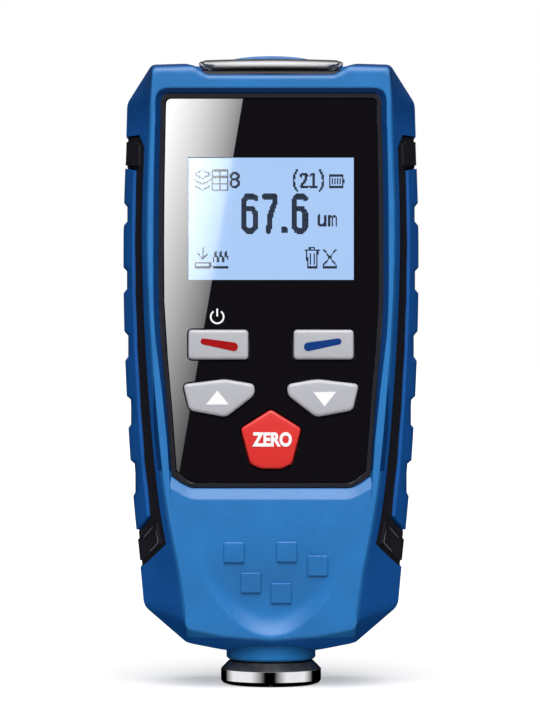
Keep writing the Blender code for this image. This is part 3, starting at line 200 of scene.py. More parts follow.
STEP = 0.03 * MM                # width of a step between two columns at an edge
EDGES = [STRIP_TOP, STRIP_BOTTOM, GRIP_TOP, GRIP_BOTTOM, STRIP_TOP - 2.4 * MM, STRIP_BOTTOM + STRIP_SLANT,
         GRIP_BOTTOM + GRIP_SLANT, GRIP_TOP - 0.5 * MM]
SIDE_HEIGHTS = np.unique(np.concatenate(
    [np.linspace(HIP, SHOULDER, 96), EDGES, np.array(EDGES) + STEP, np.array(EDGES) - STEP]
    + [[z - h / 2, z - h / 2 + NOTCH_EASE, z + h / 2 - NOTCH_EASE, z + h / 2] for z, h in NOTCHES]))
SIDE_SHARE = (SIDE_HEIGHTS - HIP) / (SHOULDER - HIP)
print(len(SIDE_HEIGHTS), "columns on each flank")

# %% Matched half outlines
CORNER_STEPS = 7
RUNS = (26, 22, 12, 14, 8, 12, 14, 6, 22)


def half_outline(low, side, high, radii):
    """Points of a half outline, bottom middle to top middle.

    low and high are the corners below and above the side curve, and radii gives the reach of
    the quadratic curve at each of them. The run after corner i is split into RUNS[i] steps."""
    corners = [np.array(p) for p in low] + [None] + [np.array(p) for p in high]
    reach = [max(r, 0.02 * MM) for r in radii]
    reach.insert(len(low), 0.0)
    first, last = len(low), len(corners) - 1

    def near(i, step):
        """Where the curve of corner i meets its run on one side: -1 before it, 1 after it."""
        if i == first:
            return side[0] if step < 0 else side[-1]
        if i in (0, last):
            return corners[i]
        other = i + step
        far = corners[other] if other != first else side[0 if step > 0 else -1]
        along = far - corners[i]
        share = 0.48 if other not in (0, first, last) else 0.96
        return corners[i] + along * min(reach[i] / np.linalg.norm(along), share)

    points = []
    for i, corner in enumerate(corners):
        if i == first:
            points.append(side)
        elif i in (0, last):
            points.append(corner[None])
        else:
            t = np.linspace(0.0, 1.0, CORNER_STEPS)[:, None]
            points.append(arc_through(near(i, -1), corner, near(i, 1), t))
        if i < last:
            t = np.linspace(0.0, 1.0, RUNS[i] + 1)[1:-1, None]
            points.append(near(i, 1) + (near(i + 1, -1) - near(i, 1)) * t)
    return np.vstack(points)


def whole(half):
    """Closed outline from a right half: up the right side, then down the left."""
    return np.vstack([half, half[1:-1][::-1] * (-1.0, 1.0)])


def lift(outline, depth):
    """(n, 3) points of an outline in the XZ plane at the given y, one value or one per point."""
    return np.stack([outline[:, 0], np.broadcast_to(depth, len(outline)), outline[:, 1]], axis=1)


print(sum(RUNS), "steps on the straight runs of a half outline")

# %% The housing's outlines
FACE_HALF = HALF_WIDTH - FACET
HIP_HALF = FACE_HALF - FRONT_INSETS[0] * MM
NOTCH_FLOOR = TOP - 2.45 * MM
NOTCH_HALF = LENS_HALF - 7.55 * MM


def grown(outline, distance):
    """Each point of a closed outline moved outwards along its mean normal, by one distance or
    by one per point; at a corner it moves further, so that both sides shift by the distance."""
    edge = np.roll(outline, -1, axis=0) - outline
    edge /= np.maximum(np.linalg.norm(edge, axis=1), 1e-9)[:, None]
    normal = np.stack([edge[:, 1], -edge[:, 0]], axis=1)
    mean = normal + np.roll(normal, 1, axis=0)
    mean /= np.maximum((mean * normal).sum(axis=1), 0.5)[:, None]
    return outline + mean * np.broadcast_to(distance, len(outline))[:, None]


def sunk(low, side, high, radii, sink):
    """Whole outline from its corners, drawn in by sink before the corners are rounded."""
    low, high = np.array(low), np.array(high)
    corners = whole(np.vstack([low, side, high]))
    right = grown(corners, -sink)[:len(low) + len(side) + len(high)]
    return whole(half_outline(right[:len(low)], right[len(low):len(low) + len(side)],
                              right[len(low) + len(side):], np.array(radii) * MM))


FACE_SIDE, RIM_SIDE = (side_curve(HIP, SHOULDER, half, SIDE_SHARES, insets, SIDE_HEIGHTS)
                       for half, insets in ((FACE_HALF, FRONT_INSETS), (HALF_WIDTH, SIDE_INSETS)))


def face_edge(sink=0.0):
    """Edge of the front face, with the notch for the top cap."""
    side = np.stack([FACE_SIDE, SIDE_HEIGHTS], axis=1)
    low = [(0.0, BOTTOM + 2.85 * MM), (8.4 * MM, BOTTOM + 3.5 * MM),
           (HIP_HALF - 1.4 * MM, BOTTOM + 4.85 * MM), (HIP_HALF - 0.9 * MM, BOTTOM + 8.65 * MM)]
    high = [(FACE_HALF - 0.6 * MM, TOP - 7.05 * MM), (FACE_HALF - 1.0 * MM, TOP - 1.05 * MM),
            (NOTCH_HALF + 2.05 * MM, TOP - 0.84 * MM), (NOTCH_HALF, NOTCH_FLOOR), (0.0, NOTCH_FLOOR)]
    return sunk(low, side, high, (0, 1.5, 0.9, 2.0, 1.2, 0.7, 0.9, 0.9, 0), sink)


def silhouette(notched=True, sink=0.0):
    """Outline at the joint between the halves, and further back, where it has no notch."""
    side = np.stack([RIM_SIDE, SIDE_HEIGHTS], axis=1)
    low = [(0.0, BOTTOM), (8.4 * MM, BOTTOM + 0.55 * MM), (HIP_HALF - 1.5 * MM, BOTTOM + 1.85 * MM),
           (side[0, 0] - 0.6 * MM, BOTTOM + 8.65 * MM)]
    slope = CROWN / (HALF_WIDTH - 5.1 * MM)
    notch = [(NOTCH_HALF + 3.4 * MM, TOP + CROWN - slope * (NOTCH_HALF + 3.4 * MM))]
    if notched:
        notch += [(NOTCH_HALF, NOTCH_FLOOR), (0.0, NOTCH_FLOOR)]
    else:
        notch += [(NOTCH_HALF, TOP + CROWN - slope * NOTCH_HALF), (0.0, TOP + CROWN)]
    high = [(HALF_WIDTH - 0.65 * MM, TOP - 7.05 * MM), (HALF_WIDTH - 5.1 * MM, TOP)] + notch
    return sunk(low, side, high, (0, 1.5, 1.0, 1.2, 0.9, 0.8, 0.9, 0.9, 0), sink)


def panel_outline(side, top, bottom, radius, cut=1.2, pinch=0.0):
    """Outline of the screen panel, grown by the given amounts past the lens; towards its lower
    corners it is drawn in by pinch."""
    lower = LENS_BOTTOM + 2.1 * MM
    heights = lower + SIDE_SHARE * (LENS_TOP - 6.0 * MM - lower)
    widths = side + side_curve(lower, LENS_TOP, LENS_HALF, (0.0, 0.196, 0.407, 0.647, 1.0),
                               (2.25, 1.3, 0.15, 0.0, 0.35), heights)
    widths = widths - pinch * np.clip(1.0 - SIDE_SHARE / 0.4, 0.0, 1.0)
    base = LENS_BOTTOM - bottom
    heights = heights - bottom * np.clip(1.0 - SIDE_SHARE * 12.0, 0.0, 1.0)
    corner_x = LENS_HALF - 0.35 * MM + side
    low = [(0.0, base), (8.0 * MM, base), (LENS_HALF - 4.7 * MM, base),
           (widths[0] - 0.03 * MM, heights[0] - 0.02 * MM)]
    high = [(corner_x, LENS_TOP - 4.0 * MM), (corner_x, LENS_TOP + top),
            (NOTCH_HALF + 2.4 * MM, LENS_TOP + top), (NOTCH_HALF, LENS_TOP + top), (0.0, LENS_TOP + top)]
    return whole(half_outline(low, np.stack([widths, heights], axis=1), high,
                              np.array([0, 0, cut, 0, 0, radius / MM, 0, 0, 0]) * MM))


def back_outline(inset):
    """Outline of the hard plate that shows through the skin at the back."""
    half, low, high = 15.7 * MM - inset, BOTTOM + 11.85 * MM + inset, TOP - 5.2 * MM - inset
    heights = low + 2.6 * MM + SIDE_SHARE * (high - low - 5.2 * MM)
    side = np.stack([np.full(len(heights), half), heights], axis=1)
    bottom = [(0.0, low), (5.0 * MM, low), (9.0 * MM, low), (half, low)]
    top = [(half, high - 2.59 * MM), (half, high), (9.5 * MM, high), (6.0 * MM, high), (0.0, high)]
    return whole(half_outline(bottom, side, top, np.array([0, 0, 0, 2.5, 0, 2.5, 0, 0, 0]) * MM))


FACE, RIM_EDGE = face_edge(), silhouette()
COLUMNS = len(FACE)
print(COLUMNS, "columns round the housing")


# %% Rows of points
def bend(before, corner, after, reach, count):
    """Rows of a rounded corner: a quadratic curve between points at reach on either side of it."""
    back, on = before - corner, after - corner
    size_back, size_on = (np.maximum(np.linalg.norm(v, axis=1), 1e-9)[:, None] for v in (back, on))
    start = corner + back * np.minimum(reach / size_back, 0.45)
    end = corner + on * np.minimum(reach / size_on, 0.45)
    return arc_through(start, corner, end, np.linspace(0.0, 1.0, count)[:, None, None])


def between(start, end, shares):
    """Rows of points on the straight lines from start to end."""
    return start + (end - start) * np.asarray(shares)[:, None, None]


def face_y(heights):
    """y of the front face: flat, then a parabola that curves back down the chin."""
    return FRONT + CHIN_DROP * np.clip((CHIN_TOP - heights) / CHIN_SPAN, 0.0, None)**2


def scoop(x, z):
    """Depth of the thumb scoop under the face: a quarter sine climbs from its rim, which is a
    parabola of the front view; a smooth step brings it back upwards, a fourth power sideways."""
    above = z - SCOOP_LOW - x**2 / SCOOP_ROUND
    inside = 0.5 * (above + np.sqrt(above**2 + (0.2 * MM)**2))
    rise = np.sin(np.pi / 2 * np.clip(inside / SCOOP_REACH, 0.0, 1.0))
    share = np.clip((z - SCOOP_LOW - 4.5 * MM) / SCOOP_TALL, 0.0, 1.0)
    fade = 1.0 - share * share * (3.0 - 2.0 * share)
    return SCOOP_DEPTH * rise * fade * np.clip(1.0 - (x / SCOOP_HALF)**4, 0.0, 1.0)


print(f"the scoop is {scoop(0.0, SCOOP_LOW + SCOOP_REACH) * 1000:.2f} mm deep")

# %% [markdown]
# ## Shader maths as Python
# A wrapped socket lets a pattern be written as an expression: `1 - mask * 0.3` adds its own Math
# nodes. Any other node comes from one method that takes the node's type, its settings and what
# goes into its sockets. A value that is the same all over is set on the shader itself.

# %% Socket and Finish classes
class Socket:
    """A number on its way through a material. Arithmetic on it adds Math nodes."""

    def __init__(self, finish, output):
        self.finish, self.output = finish, output

    def math(self, operation, *others):
        return self.finish.node("ShaderNodeMath", {"operation": operation}, dict(enumerate((self, *others))))

    def clipped(self):
        """The number kept between 0 and 1."""
        return self.math("MAXIMUM", 0.0).math("MINIMUM", 1.0)

    def __add__(self, other):
        return self.math("ADD", other)

    def __mul__(self, other):
        return self.math("MULTIPLY", other)

    def __sub__(self, other):
        return self.math("SUBTRACT", other)

    def __rsub__(self, other):
        return self.finish.node("ShaderNodeMath", {"operation": "SUBTRACT"}, {0: other, 1: self})

    def __truediv__(self, other):
        return self.math("DIVIDE", other)

    __radd__, __rmul__ = __add__, __mul__


class Finish:
    """One material: its Principled shader, and one way to add any other node."""

    def __init__(self, name, **constants):
        self.material = bpy.data.materials.new(name)
        self.material.use_nodes = True
        self.tree = self.material.node_tree
        self.shader = self.tree.nodes["Principled BSDF"]
        for key, value in constants.items():
            socket = self.shader.inputs[key.replace("_", " ")]
            socket.default_value = (*value, 1.0) if isinstance(value, tuple) else value

    def node(self, kind, settings=None, inputs=None, out=0):
        made = self.tree.nodes.new(kind)
        for key, value in (settings or {}).items():
            setattr(made, key, value)
        for key, value in (inputs or {}).items():
            self.put(made.inputs[key], value)
        return Socket(self, made.outputs[out])

    def put(self, socket, value):
        if isinstance(value, Socket):
            self.tree.links.new(value.output, socket)
        else:
            socket.default_value = value

    def feed(self, name, value):
        self.put(self.shader.inputs[name], value)

    def place(self):
        return self.node("ShaderNodeTexCoord", out=3)

    def noise(self, scale, detail=3.0, roughness=0.5, out=0):
        return self.node("ShaderNodeTexNoise", {}, {"Vector": self.place(), "Scale": scale,
                                                    "Detail": detail, "Roughness": roughness}, out)

    def plain(self):
        """The Principled shader itself, for mixing."""
        return Socket(self, self.shader.outputs[0])

    def axes(self):
        """The three object coordinates as numbers."""
        parted = self.node("ShaderNodeSeparateXYZ", {}, {0: self.place()})
        return [Socket(self, parted.output.node.outputs[i]) for i in range(3)]

    def tint(self, factor, low, high):
        """Colour between low and high, each three numbers or a colour that is worked out."""
        low, high = (c if isinstance(c, Socket) else (*c, 1.0) for c in (low, high))
        return self.node("ShaderNodeMix", {"data_type": "RGBA"}, {0: factor, 6: low, 7: high}, 2)

    def bump(self, height, strength, distance):
        """Relief from height, at most distance high."""
        self.feed("Normal", self.node("ShaderNodeBump", {}, {"Strength": strength, "Distance": distance,
                                                             "Height": height}))

    def glow(self, strength):
        """White light of the given strength."""
        return self.node("ShaderNodeEmission", {}, {"Strength": strength})

    def surface(self, socket):
        """Shows this shader instead of the Principled one alone."""
        self.put(self.tree.nodes["Material Output"].inputs["Surface"], socket)


print("a Finish can", ", ".join(name for name in vars(Finish) if "_" not in name))

# %% [markdown]
# ## Finishes
# Each finish says how the real surface came about, except the painted shade of the blue skin,
# the painted highlight of the cap bar and the painted highlight beads round the pads. The blue
# skin is moulded against a finely sparked tool, so it has a grain of a quarter of a millimetre,
# slight cloudiness and a satin sheen. The dark shell is the same grain in hard plastic. Painted
# keys have fine flake.

# %% Blue rubber skin with painted shade
def painted_shade_blue_rubber(name, face, flank, rough):
    """Sparked rubber with painted shade. The face keeps the lighter blue; everything that falls
    back from it, in depth below the curved face and outside the thumb scoop, is painted the
    darker blue of shade, less of it towards the back; the upper facets get part of the darkest
    painted shade, and the recess round the window is painted darkest."""
    finish = Finish(name, IOR=1.42, Specular_IOR_Level=0.5)
    cloud, grain = finish.noise(140.0, 2.0), finish.noise(3600.0, 2.0, 0.6)
    x, y, z = finish.axes()
    chin = ((CHIN_TOP - z) / CHIN_SPAN).math("MAXIMUM", 0.0)
    below_lens, aside = LENS_BOTTOM + 2.0 * MM, x.math("ABSOLUTE")
    above = z - BOTTOM - 3.4 * MM
    middle = (above.math("GREATER_THAN", 0.0) * z.math("LESS_THAN", below_lens)
              * (aside - above * 0.107).math("LESS_THAN", 15.1 * MM))
    # How far the skin falls back from the face, outside the scoop: there it is painted the darker blue of
    # shade.
    painted_shade_share = ((y - FRONT - chin * chin * CHIN_DROP - 0.2 * MM) / (0.7 * MM)).clipped() * (1.0 - middle)
    high, rear = ((z - SHOULDER) / (5.0 * MM)).clipped(), ((y - PARTING) / (5.0 * MM)).clipped()
    # The recess round the window, where the darkest shade is painted.
    recess = (aside.math("LESS_THAN", LENS_HALF + 1.9 * MM) * z.math("LESS_THAN", LENS_TOP + 2.5 * MM)
              * z.math("GREATER_THAN", below_lens) * y.math("GREATER_THAN", FRONT + 0.12 * MM)
              * y.math("LESS_THAN", FRONT + 1.4 * MM))
    # Darkest painted shade: full in the recess, about half of it on the upper facets.
    deep = recess.math("MAXIMUM", high * painted_shade_share * (1.0 - rear) * 0.55)
    mottle = cloud * 0.5 + grain * 0.5
    faces, flanks = (finish.tint(mottle, [c * 0.7 for c in shade], [c * 1.3 for c in shade])
                     for shade in (face, flank))
    sides = finish.tint(painted_shade_share * (1.0 - rear * 0.75), faces, flanks)
    finish.feed("Base Color", finish.tint(deep, sides, (0.002, 0.045, 0.19)))
    finish.feed("Roughness", grain * 0.16 + (rough - 0.08))
    finish.bump(grain, 0.22, 0.00008)
    return finish.material


# The second blue is painted shade for the flanks and facets, not a second rubber.
SKIN_BLUE = painted_shade_blue_rubber("blue_rubber_skin_painted_shade", (0.022, 0.186, 0.505), (0.007, 0.100, 0.385), 0.42)
COLLAR_BLUE = painted_shade_blue_rubber("blue_collar_satin", (0.03, 0.21, 0.55), (0.02, 0.20, 0.54), 0.4)
print("blue finishes ready")


# %% Hard plastics
def moulded(name, low, high, rough, scale=2600.0, strength=0.2, gloss=0.5):
    """Sparked plastic: grain in colour, gloss and height."""
    finish = Finish(name, Specular_IOR_Level=gloss)
    grain = finish.noise(scale, 2.0, 0.6)
    finish.feed("Base Color", finish.tint(grain, low, high))
    finish.feed("Roughness", grain * 0.18 + (rough - 0.09))
    finish.bump(grain, strength, 0.00006)
    return finish.material


DARK = moulded("dark_moulded_plastic", (0.012, 0.012, 0.017), (0.020, 0.020, 0.028), 0.4, gloss=0.25)
# Light grey painted highlight for the thin beads round the flank pads.
PAINTED_EDGE_HIGHLIGHT = moulded("painted_edge_highlight", (0.14, 0.14, 0.16), (0.18, 0.18, 0.205), 0.42, gloss=0.3)
RIM_GREY = moulded("grey_lens_rim", (0.045, 0.045, 0.052), (0.065, 0.065, 0.075), 0.34)
BLACK_PART = moulded("black_component", (0.012, 0.012, 0.012), (0.025, 0.025, 0.025), 0.5)
SILVER_KEY = moulded("silver_painted_key", (0.43, 0.435, 0.475), (0.53, 0.535, 0.575), 0.34, 5200.0, 0.05)
RED_KEY = moulded("red_key_plastic", (0.68, 0.022, 0.020), (0.78, 0.032, 0.026), 0.36, 4200.0, 0.05)
SILICONE = moulded("grey_silicone", (0.2, 0.21, 0.23), (0.26, 0.27, 0.29), 0.7)
WHITE_INK = moulded("white_print", (0.95, 0.95, 0.95), (0.98, 0.98, 0.98), 0.5, 3000.0, 0.03)
RED_INK = moulded("red_print", (0.34, 0.001, 0.002), (0.40, 0.003, 0.004), 0.4, 3000.0, 0.03, 0.25)
BLUE_INK = moulded("blue_print", (0.001, 0.034, 0.19), (0.003, 0.044, 0.23), 0.4, 3000.0, 0.03, 0.25)


def cell_sleeve():
    """Shrunk sleeve of a battery cell: copper lacquer over its upper quarter, dark below."""
    finish = Finish("printed_cell_sleeve", Coat_Weight=0.6)
    grain = finish.noise(900.0, 2.0)
    low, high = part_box("battery_cell_left")
    band = finish.axes()[2].math("GREATER_THAN", low.z + 0.72 * (high.z - low.z))
    copper = band * 0.94 + grain * 0.06
    finish.feed("Base Color", finish.tint(copper, (0.03, 0.03, 0.035), (0.62, 0.27, 0.09)))
    finish.feed("Metallic", band * 0.7)
    finish.feed("Roughness", grain * 0.1 + 0.3)
    return finish.material


SLEEVE = cell_sleeve()
print("plastics ready")


# %% Metals
def metal(name, low, high, rough, scale, stretch):
    """Metal with marks drawn out along Z by stretch, as turning or drawing leaves them."""
    finish = Finish(name, Metallic=1.0)
    mapped = finish.node("ShaderNodeMapping", {}, {"Vector": finish.place(), "Scale": (1.0, 1.0, stretch)})
    marks = finish.node("ShaderNodeTexNoise", {}, {"Vector": mapped, "Scale": scale, "Detail": 3.0})
    finish.feed("Base Color", finish.tint(marks, low, high))
    finish.feed("Roughness", marks * rough + rough * 0.5)
    finish.bump(marks, 0.05, 0.00002)
    return finish.material


def plated_foot():
    """Chrome below and a black, non-metal cone above, parted at one height; turning marks run round."""
    finish = Finish("plated_foot")
    marks = finish.noise(420.0, 3.0)
    black = ((finish.axes()[2] - CONE_FROM) / (0.05 * MM)).clipped()
    bright = marks * 0.1 + (1.0 - black) * 0.9
    finish.feed("Base Color", finish.tint(bright, (0.004, 0.004, 0.006), (0.8, 0.8, 0.82)))
    finish.feed("Metallic", 1.0 - black)
    finish.feed("Roughness", marks * 0.04 + black * 0.2 + 0.04)
    finish.bump(marks, 0.04, 0.00002)
    return finish.material


def cap_painted_highlight():
    """Satin bar with a painted highlight: a light band along its middle height that gives way to painted
    shade towards its edges; the plate below it is grey.
    """
    finish = Finish("cap_painted_highlight", Specular_IOR_Level=0.3)
    grain = finish.noise(2600.0, 2.0, 0.6)
    x, _, z = finish.axes()
    level = (z + x * x * (CAP_CROWN / NOTCH_HALF**2) - CAP_MIDDLE + 0.06 * MM) / CAP_BAR_HALF
    # Painted highlight: a band that is brightest at the bar's middle height and follows its crown.
    lit = (1.0 - level * level).math("MAXIMUM", 0.0).math("POWER", 1.5)
    plate = level.math("LESS_THAN", -1.1) * 0.1
    bright = (lit + plate) * 0.9 + grain * 0.1
    finish.feed("Base Color", finish.tint(bright, (0.012, 0.012, 0.016), (0.95, 0.95, 0.97)))
    finish.feed("Roughness", grain * 0.1 + 0.36)
    finish.bump(grain, 0.1, 0.00003)
    return finish.material


CONE_FROM = 2.72 * MM
CAP_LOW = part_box("top_cap")[0].z
CAP_CROWN, CAP_MIDDLE, CAP_BAR_HALF = 0.25 * MM, CAP_LOW + 1.22 * MM, 0.78 * MM
# The cap bar's finish carries a painted highlight.
CAP_PAINTED_HIGHLIGHT, FOOT_PLATED = cap_painted_highlight(), plated_foot()
STEEL = metal("drawn_steel", (0.42, 0.42, 0.44), (0.6, 0.6, 0.62), 0.3, 900.0, 6.0)
BRASS = metal("turned_brass", (0.62, 0.43, 0.16), (0.78, 0.58, 0.26), 0.3, 900.0, 8.0)
print("metals ready")


# %% Circuit board
def board_green():
    """Solder mask over copper tracks: a lighter green where a fine brick of tracks runs."""
    finish = Finish("green_circuit_board", Roughness=0.35)
    turned = finish.node("ShaderNodeMapping", {}, {"Vector": finish.place(),
                                                   "Rotation": (math.pi / 2, 0.0, 0.0)})
    track = finish.node("ShaderNodeTexBrick", {}, {"Vector": turned, "Scale": 260.0, "Mortar Size": 0.09}, 1)
    finish.feed("Base Color", finish.tint(track, (0.008, 0.085, 0.035), (0.02, 0.17, 0.07)))
    finish.bump(track, 0.3, 0.00004)
    return finish.material


GREEN = board_green()
print("board finish:", GREEN.name)

# %% [markdown]
# ## Black window with a clear pane
# The lens is clear acrylic, printed black behind except over the display. Its gloss is the
# same all over, so one shader makes the black print, and a Mix Shader lets light through the
# pane. The mask is worked out from the distance to the pane's edges.

# %% Lens finish
WINDOW_LOW, WINDOW_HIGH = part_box("lcd_module")[0].z + 1.6 * MM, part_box("lcd_module")[1].z - 1.6 * MM
WINDOW_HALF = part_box("lcd_module")[1].x - 1.0 * MM


def lens_finish():
    """Black gloss, with the display's window seen through it."""
    finish = Finish("black_lens_gloss", Base_Color=(0.0065, 0.0055, 0.0075), Roughness=0.004, IOR=1.49)
    x, _, z = finish.axes()
    middle = (WINDOW_LOW + WINDOW_HIGH) / 2
    across = x.math("ABSOLUTE").math("LESS_THAN", WINDOW_HALF)
    up = (z - middle).math("ABSOLUTE").math("LESS_THAN", (WINDOW_HIGH - WINDOW_LOW) / 2)
    pane, clear = across * up * 0.97, finish.node("ShaderNodeBsdfTransparent")
    finish.surface(finish.node("ShaderNodeMixShader", {}, {0: pane, 1: finish.plain(), 2: clear}))
    return finish.material


LENS = lens_finish()
print(f"window {WINDOW_HALF * 2000:.1f} x {(WINDOW_HIGH - WINDOW_LOW) * 1000:.1f} mm")


# %% Display finishes
def glowing(name, color):
    """Backlit film: it shines in its own colour, with a faint cloudiness from the backlight."""
    finish = Finish(name, Roughness=0.03, Emission_Strength=1.0, Base_Color=(0.01, 0.01, 0.01))
    cloud = finish.noise(60.0, 1.0)
    finish.feed("Emission Color", finish.tint(cloud, tuple(c * 0.97 for c in color), color))
    return finish.material


DISPLAY_BLUE = glowing("display_backlight", (0.434, 0.638, 1.0))
PIXEL_DARK = glowing("display_pixel", (0.004, 0.008, 0.024))
print("display finishes ready")

# %% [markdown]
# ## Front skin
# The soft skin of the front half is one closed loop of rows, carried round the housing: out of
# the lens recess, over a rounded crest, across the face, over the outer edge, down the side
# facet, and back underneath. Across the chin the face carries the thumb scoop, so its rows are
# close together there. Where a dark strip shows on the flank, the facet ends early.

# %% Front skin
def front_end(outline):
    """y where the front skin ends: at the joint, at the strip's window, or at the collar."""
    x, z = np.abs(outline[:, 0]), outline[:, 1]
    end = np.full(len(outline), PARTING - SEAM)
    in_window = (z > STRIP_BOTTOM) & (z < STRIP_TOP) & (x > FLANK)
    slant = np.clip((STRIP_BOTTOM + STRIP_SLANT - z) / STRIP_SLANT, 0, 1)
    slant = STRIP_FRONT + (PARTING - STRIP_FRONT) * slant
    upper = STRIP_FRONT + 2.1 * MM * np.clip((z - STRIP_TOP + 2.4 * MM) / (2.4 * MM), 0, 1)
    end = np.where(in_window, np.minimum(end, np.maximum(slant, upper)), end)
    arc = -np.sqrt(np.clip(COLLAR_HOLE**2 - x**2, 0.0, None))
    return np.where((z < 9.0 * MM) & (x < COLLAR_HOLE), np.minimum(end, arc), end)


def front_skin():
    """Grid of the front skin: rows go round its section, columns round the housing."""
    start_y = face_y(FACE[:, 1]) + CREST_DROP
    lean = (RIM_EDGE - FACE) / (PARTING - start_y)[:, None]
    end_y = front_end(RIM_EDGE)
    lip = lift(panel_outline(0.95 * MM, 0.95 * MM, 0.95 * MM, 1.5 * MM), FRONT + 1.1 * MM)
    crest = lift(panel_outline(2.0 * MM, 2.0 * MM, 3.1 * MM, 2.6 * MM, 1.6, 0.8 * MM), FRONT)
    corner = lift(FACE - lean * CREST_DROP, 0.0)
    corner[:, 1] = face_y(corner[:, 2])
    facet = FACE + lean * (end_y - start_y)[:, None]
    end = lift(facet, end_y)
    inner_end = lift(grown(facet, -SKIN), end_y)
    inner_face = face_edge(SKIN)
    inner_corner = lift(inner_face, face_y(inner_face[:, 1]) + SKIN)
    inner_crest = lift(panel_outline(1.0 * MM, 1.0 * MM, 1.1 * MM, 2.0 * MM), FRONT + SKIN + 0.15 * MM)
    crest_rows = bend(lip, crest, corner, 0.24 * MM, 6)
    soft = (0.6 + 0.9 * np.clip((corner[:, 2:] - TOP) / MM + 3.5, 0.0, 1.0)) * MM
    edge_rows = bend(crest, corner, end, soft, 10)
    tail_rows = bend(corner, end, inner_end, 0.28 * MM, 5)
    dense = np.concatenate([np.linspace(0.0, 0.6, 20)[1:], np.linspace(0.6, 1.0, 36)[1:-1]])
    face_rows = between(crest_rows[-1], edge_rows[0], dense)
    face_rows[..., 1] = face_y(face_rows[..., 2])
    inner_rows = between(inner_corner, inner_crest, np.linspace(0.04, 0.96, 24))
    x, z = inner_rows[..., 0], inner_rows[..., 2]
    inner_rows[..., 1] = face_y(z) + SKIN - 0.25 * scoop(x, z)
    grid = np.concatenate([
        bend(inner_crest, lip, crest, 0.2 * MM, 3), between(lip, crest, (0.3, 0.55)), crest_rows, face_rows,
        edge_rows, between(edge_rows[-1], tail_rows[0], (0.2, 0.4, 0.6, 0.8)), tail_rows,
        bend(end, inner_end, inner_corner, 0.2 * MM, 2), between(inner_end, inner_corner, (0.5,)),
        bend(inner_end, inner_corner, inner_crest, 0.4 * MM, 3), inner_rows])
    grid[..., 1] += scoop(grid[..., 0], grid[..., 2]) * (grid[..., 1] < face_y(grid[..., 2]) + 1.05 * MM)
    return grid


grid_piece("front_skin", front_skin(), SKIN_BLUE, wrap_rows=True)
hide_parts("front_overmold")


# %% Raised squares of the chin
SQUARES = ((-6.6, 18.85), (2.8, 18.95), (8.3, 16.45), (-3.6, 13.35), (1.8, 11.45))
SQUARE_POWER = 0.14             # of cosine and sine: 1 gives a circle, 0 a square


def rounded_block(half, rise, sink, radius, count=9):
    """Grid of a pillow: a square whose sides and top edge are rounded by radius.

    Rows climb the side, turn over the edge by a quarter circle and shrink to the middle."""
    turn = np.linspace(0.0, 2 * np.pi, 8 * count, endpoint=False)
    x, z = (np.sign(wave) * np.abs(wave)**SQUARE_POWER for wave in (np.cos(turn), np.sin(turn)))
    over = np.linspace(0.0, np.pi / 2, 6)
    reach = np.concatenate([[half], half - radius + radius * np.cos(over), [half * 0.6, half * 0.3, 0.0]])
    height = np.concatenate([[-sink], rise - radius + radius * np.sin(over), [rise, rise, rise]])
    return reach[:, None] * x, np.broadcast_to(height[:, None], (len(reach), len(turn))), reach[:, None] * z


def chin_squares():
    """The five squares as one piece: each stands 0.42 mm above the chin and follows its slope."""
    points, quads = [], []
    for i, (across, up) in enumerate(SQUARES):
        x, rise, z = rounded_block(1.86 * MM, 0.42 * MM, 0.8 * MM, 0.24 * MM)
        middle = BOTTOM + up * MM
        x, z = x + across * MM, z + middle
        base = face_y(middle)
        y = base + (face_y(middle + MM) - base) / MM * (z - middle) - rise + scoop(x, z)
        grid = np.stack([x, y, z], axis=-1)
        quads.append(grid_faces(*grid.shape[:2], wrap_columns=True, first=sum(len(p) for p in points)))
        points.append(grid.reshape(-1, 3))
    return piece("chin_squares", np.vstack(points), np.vstack(quads), SKIN_BLUE)


chin_squares()

# %% [markdown]
# ## Rear skin
# The rear skin starts at the joint, laps forward over the flanks as the notched grips, rounds
# over to the flat back and stops at the edge of the hard back plate. Every row lies at one
# depth, so the notches and the step behind the top cap are simply cuts at known depths. Under
# the housing the first row follows the round hole for the collar.

# %% Rear skin
BACK_ROUND = 8.5 * MM
BACK_TUCK = 4.2 * MM
NOTCH_SINK = 0.65 * MM
NOTCH_END = 7.5 * MM
CAP_STEP = 3.0 * MM             # depth at which the notch for the top cap ends
UNDER_FLAT, UNDER_END = 12.0 * MM, 15.1 * MM       # where the columns under the collar even out


def rear_start(outline):
    """Where the rear skin starts: x shift and y for each column of the outline."""
    x, z = outline[:, 0], outline[:, 1]
    side, joint = np.abs(x), PARTING + SEAM
    start = np.full(len(outline), joint)
    flank = side > FLANK
    low = np.clip((GRIP_BOTTOM + GRIP_SLANT - z) / GRIP_SLANT, 0.0, 1.0)
    high = np.clip((z - GRIP_TOP + 0.5 * MM) / (0.5 * MM), 0.0, 1.0)
    grip = GRIP_FRONT + (joint - GRIP_FRONT) * np.maximum(low, high)
    start = np.where(flank & (z > GRIP_BOTTOM) & (z < GRIP_TOP), grip, start)
    window = flank & (((z > GRIP_TOP) & (z < STRIP_TOP)) | ((z > STRIP_BOTTOM) & (z < GRIP_BOTTOM)))
    start = np.where(window, WINDOW_BACK, start)
    under = z < BOTTOM + 3.0 * MM
    last = math.acos(joint / COLLAR_HOLE)
    turn = np.interp(side, (0.0, COLLAR_HOLE, UNDER_FLAT), (0.0, math.pi / 2, last))
    round_x = np.where(side < UNDER_FLAT, COLLAR_HOLE * np.sin(turn),
                       np.interp(side, (UNDER_FLAT, UNDER_END), (COLLAR_HOLE * math.sin(last), UNDER_END)))
    start = np.where(under & (side < UNDER_FLAT), COLLAR_HOLE * np.cos(turn), start)
    return np.where(under & (side < UNDER_END), np.sign(x) * (round_x - side), 0.0), start


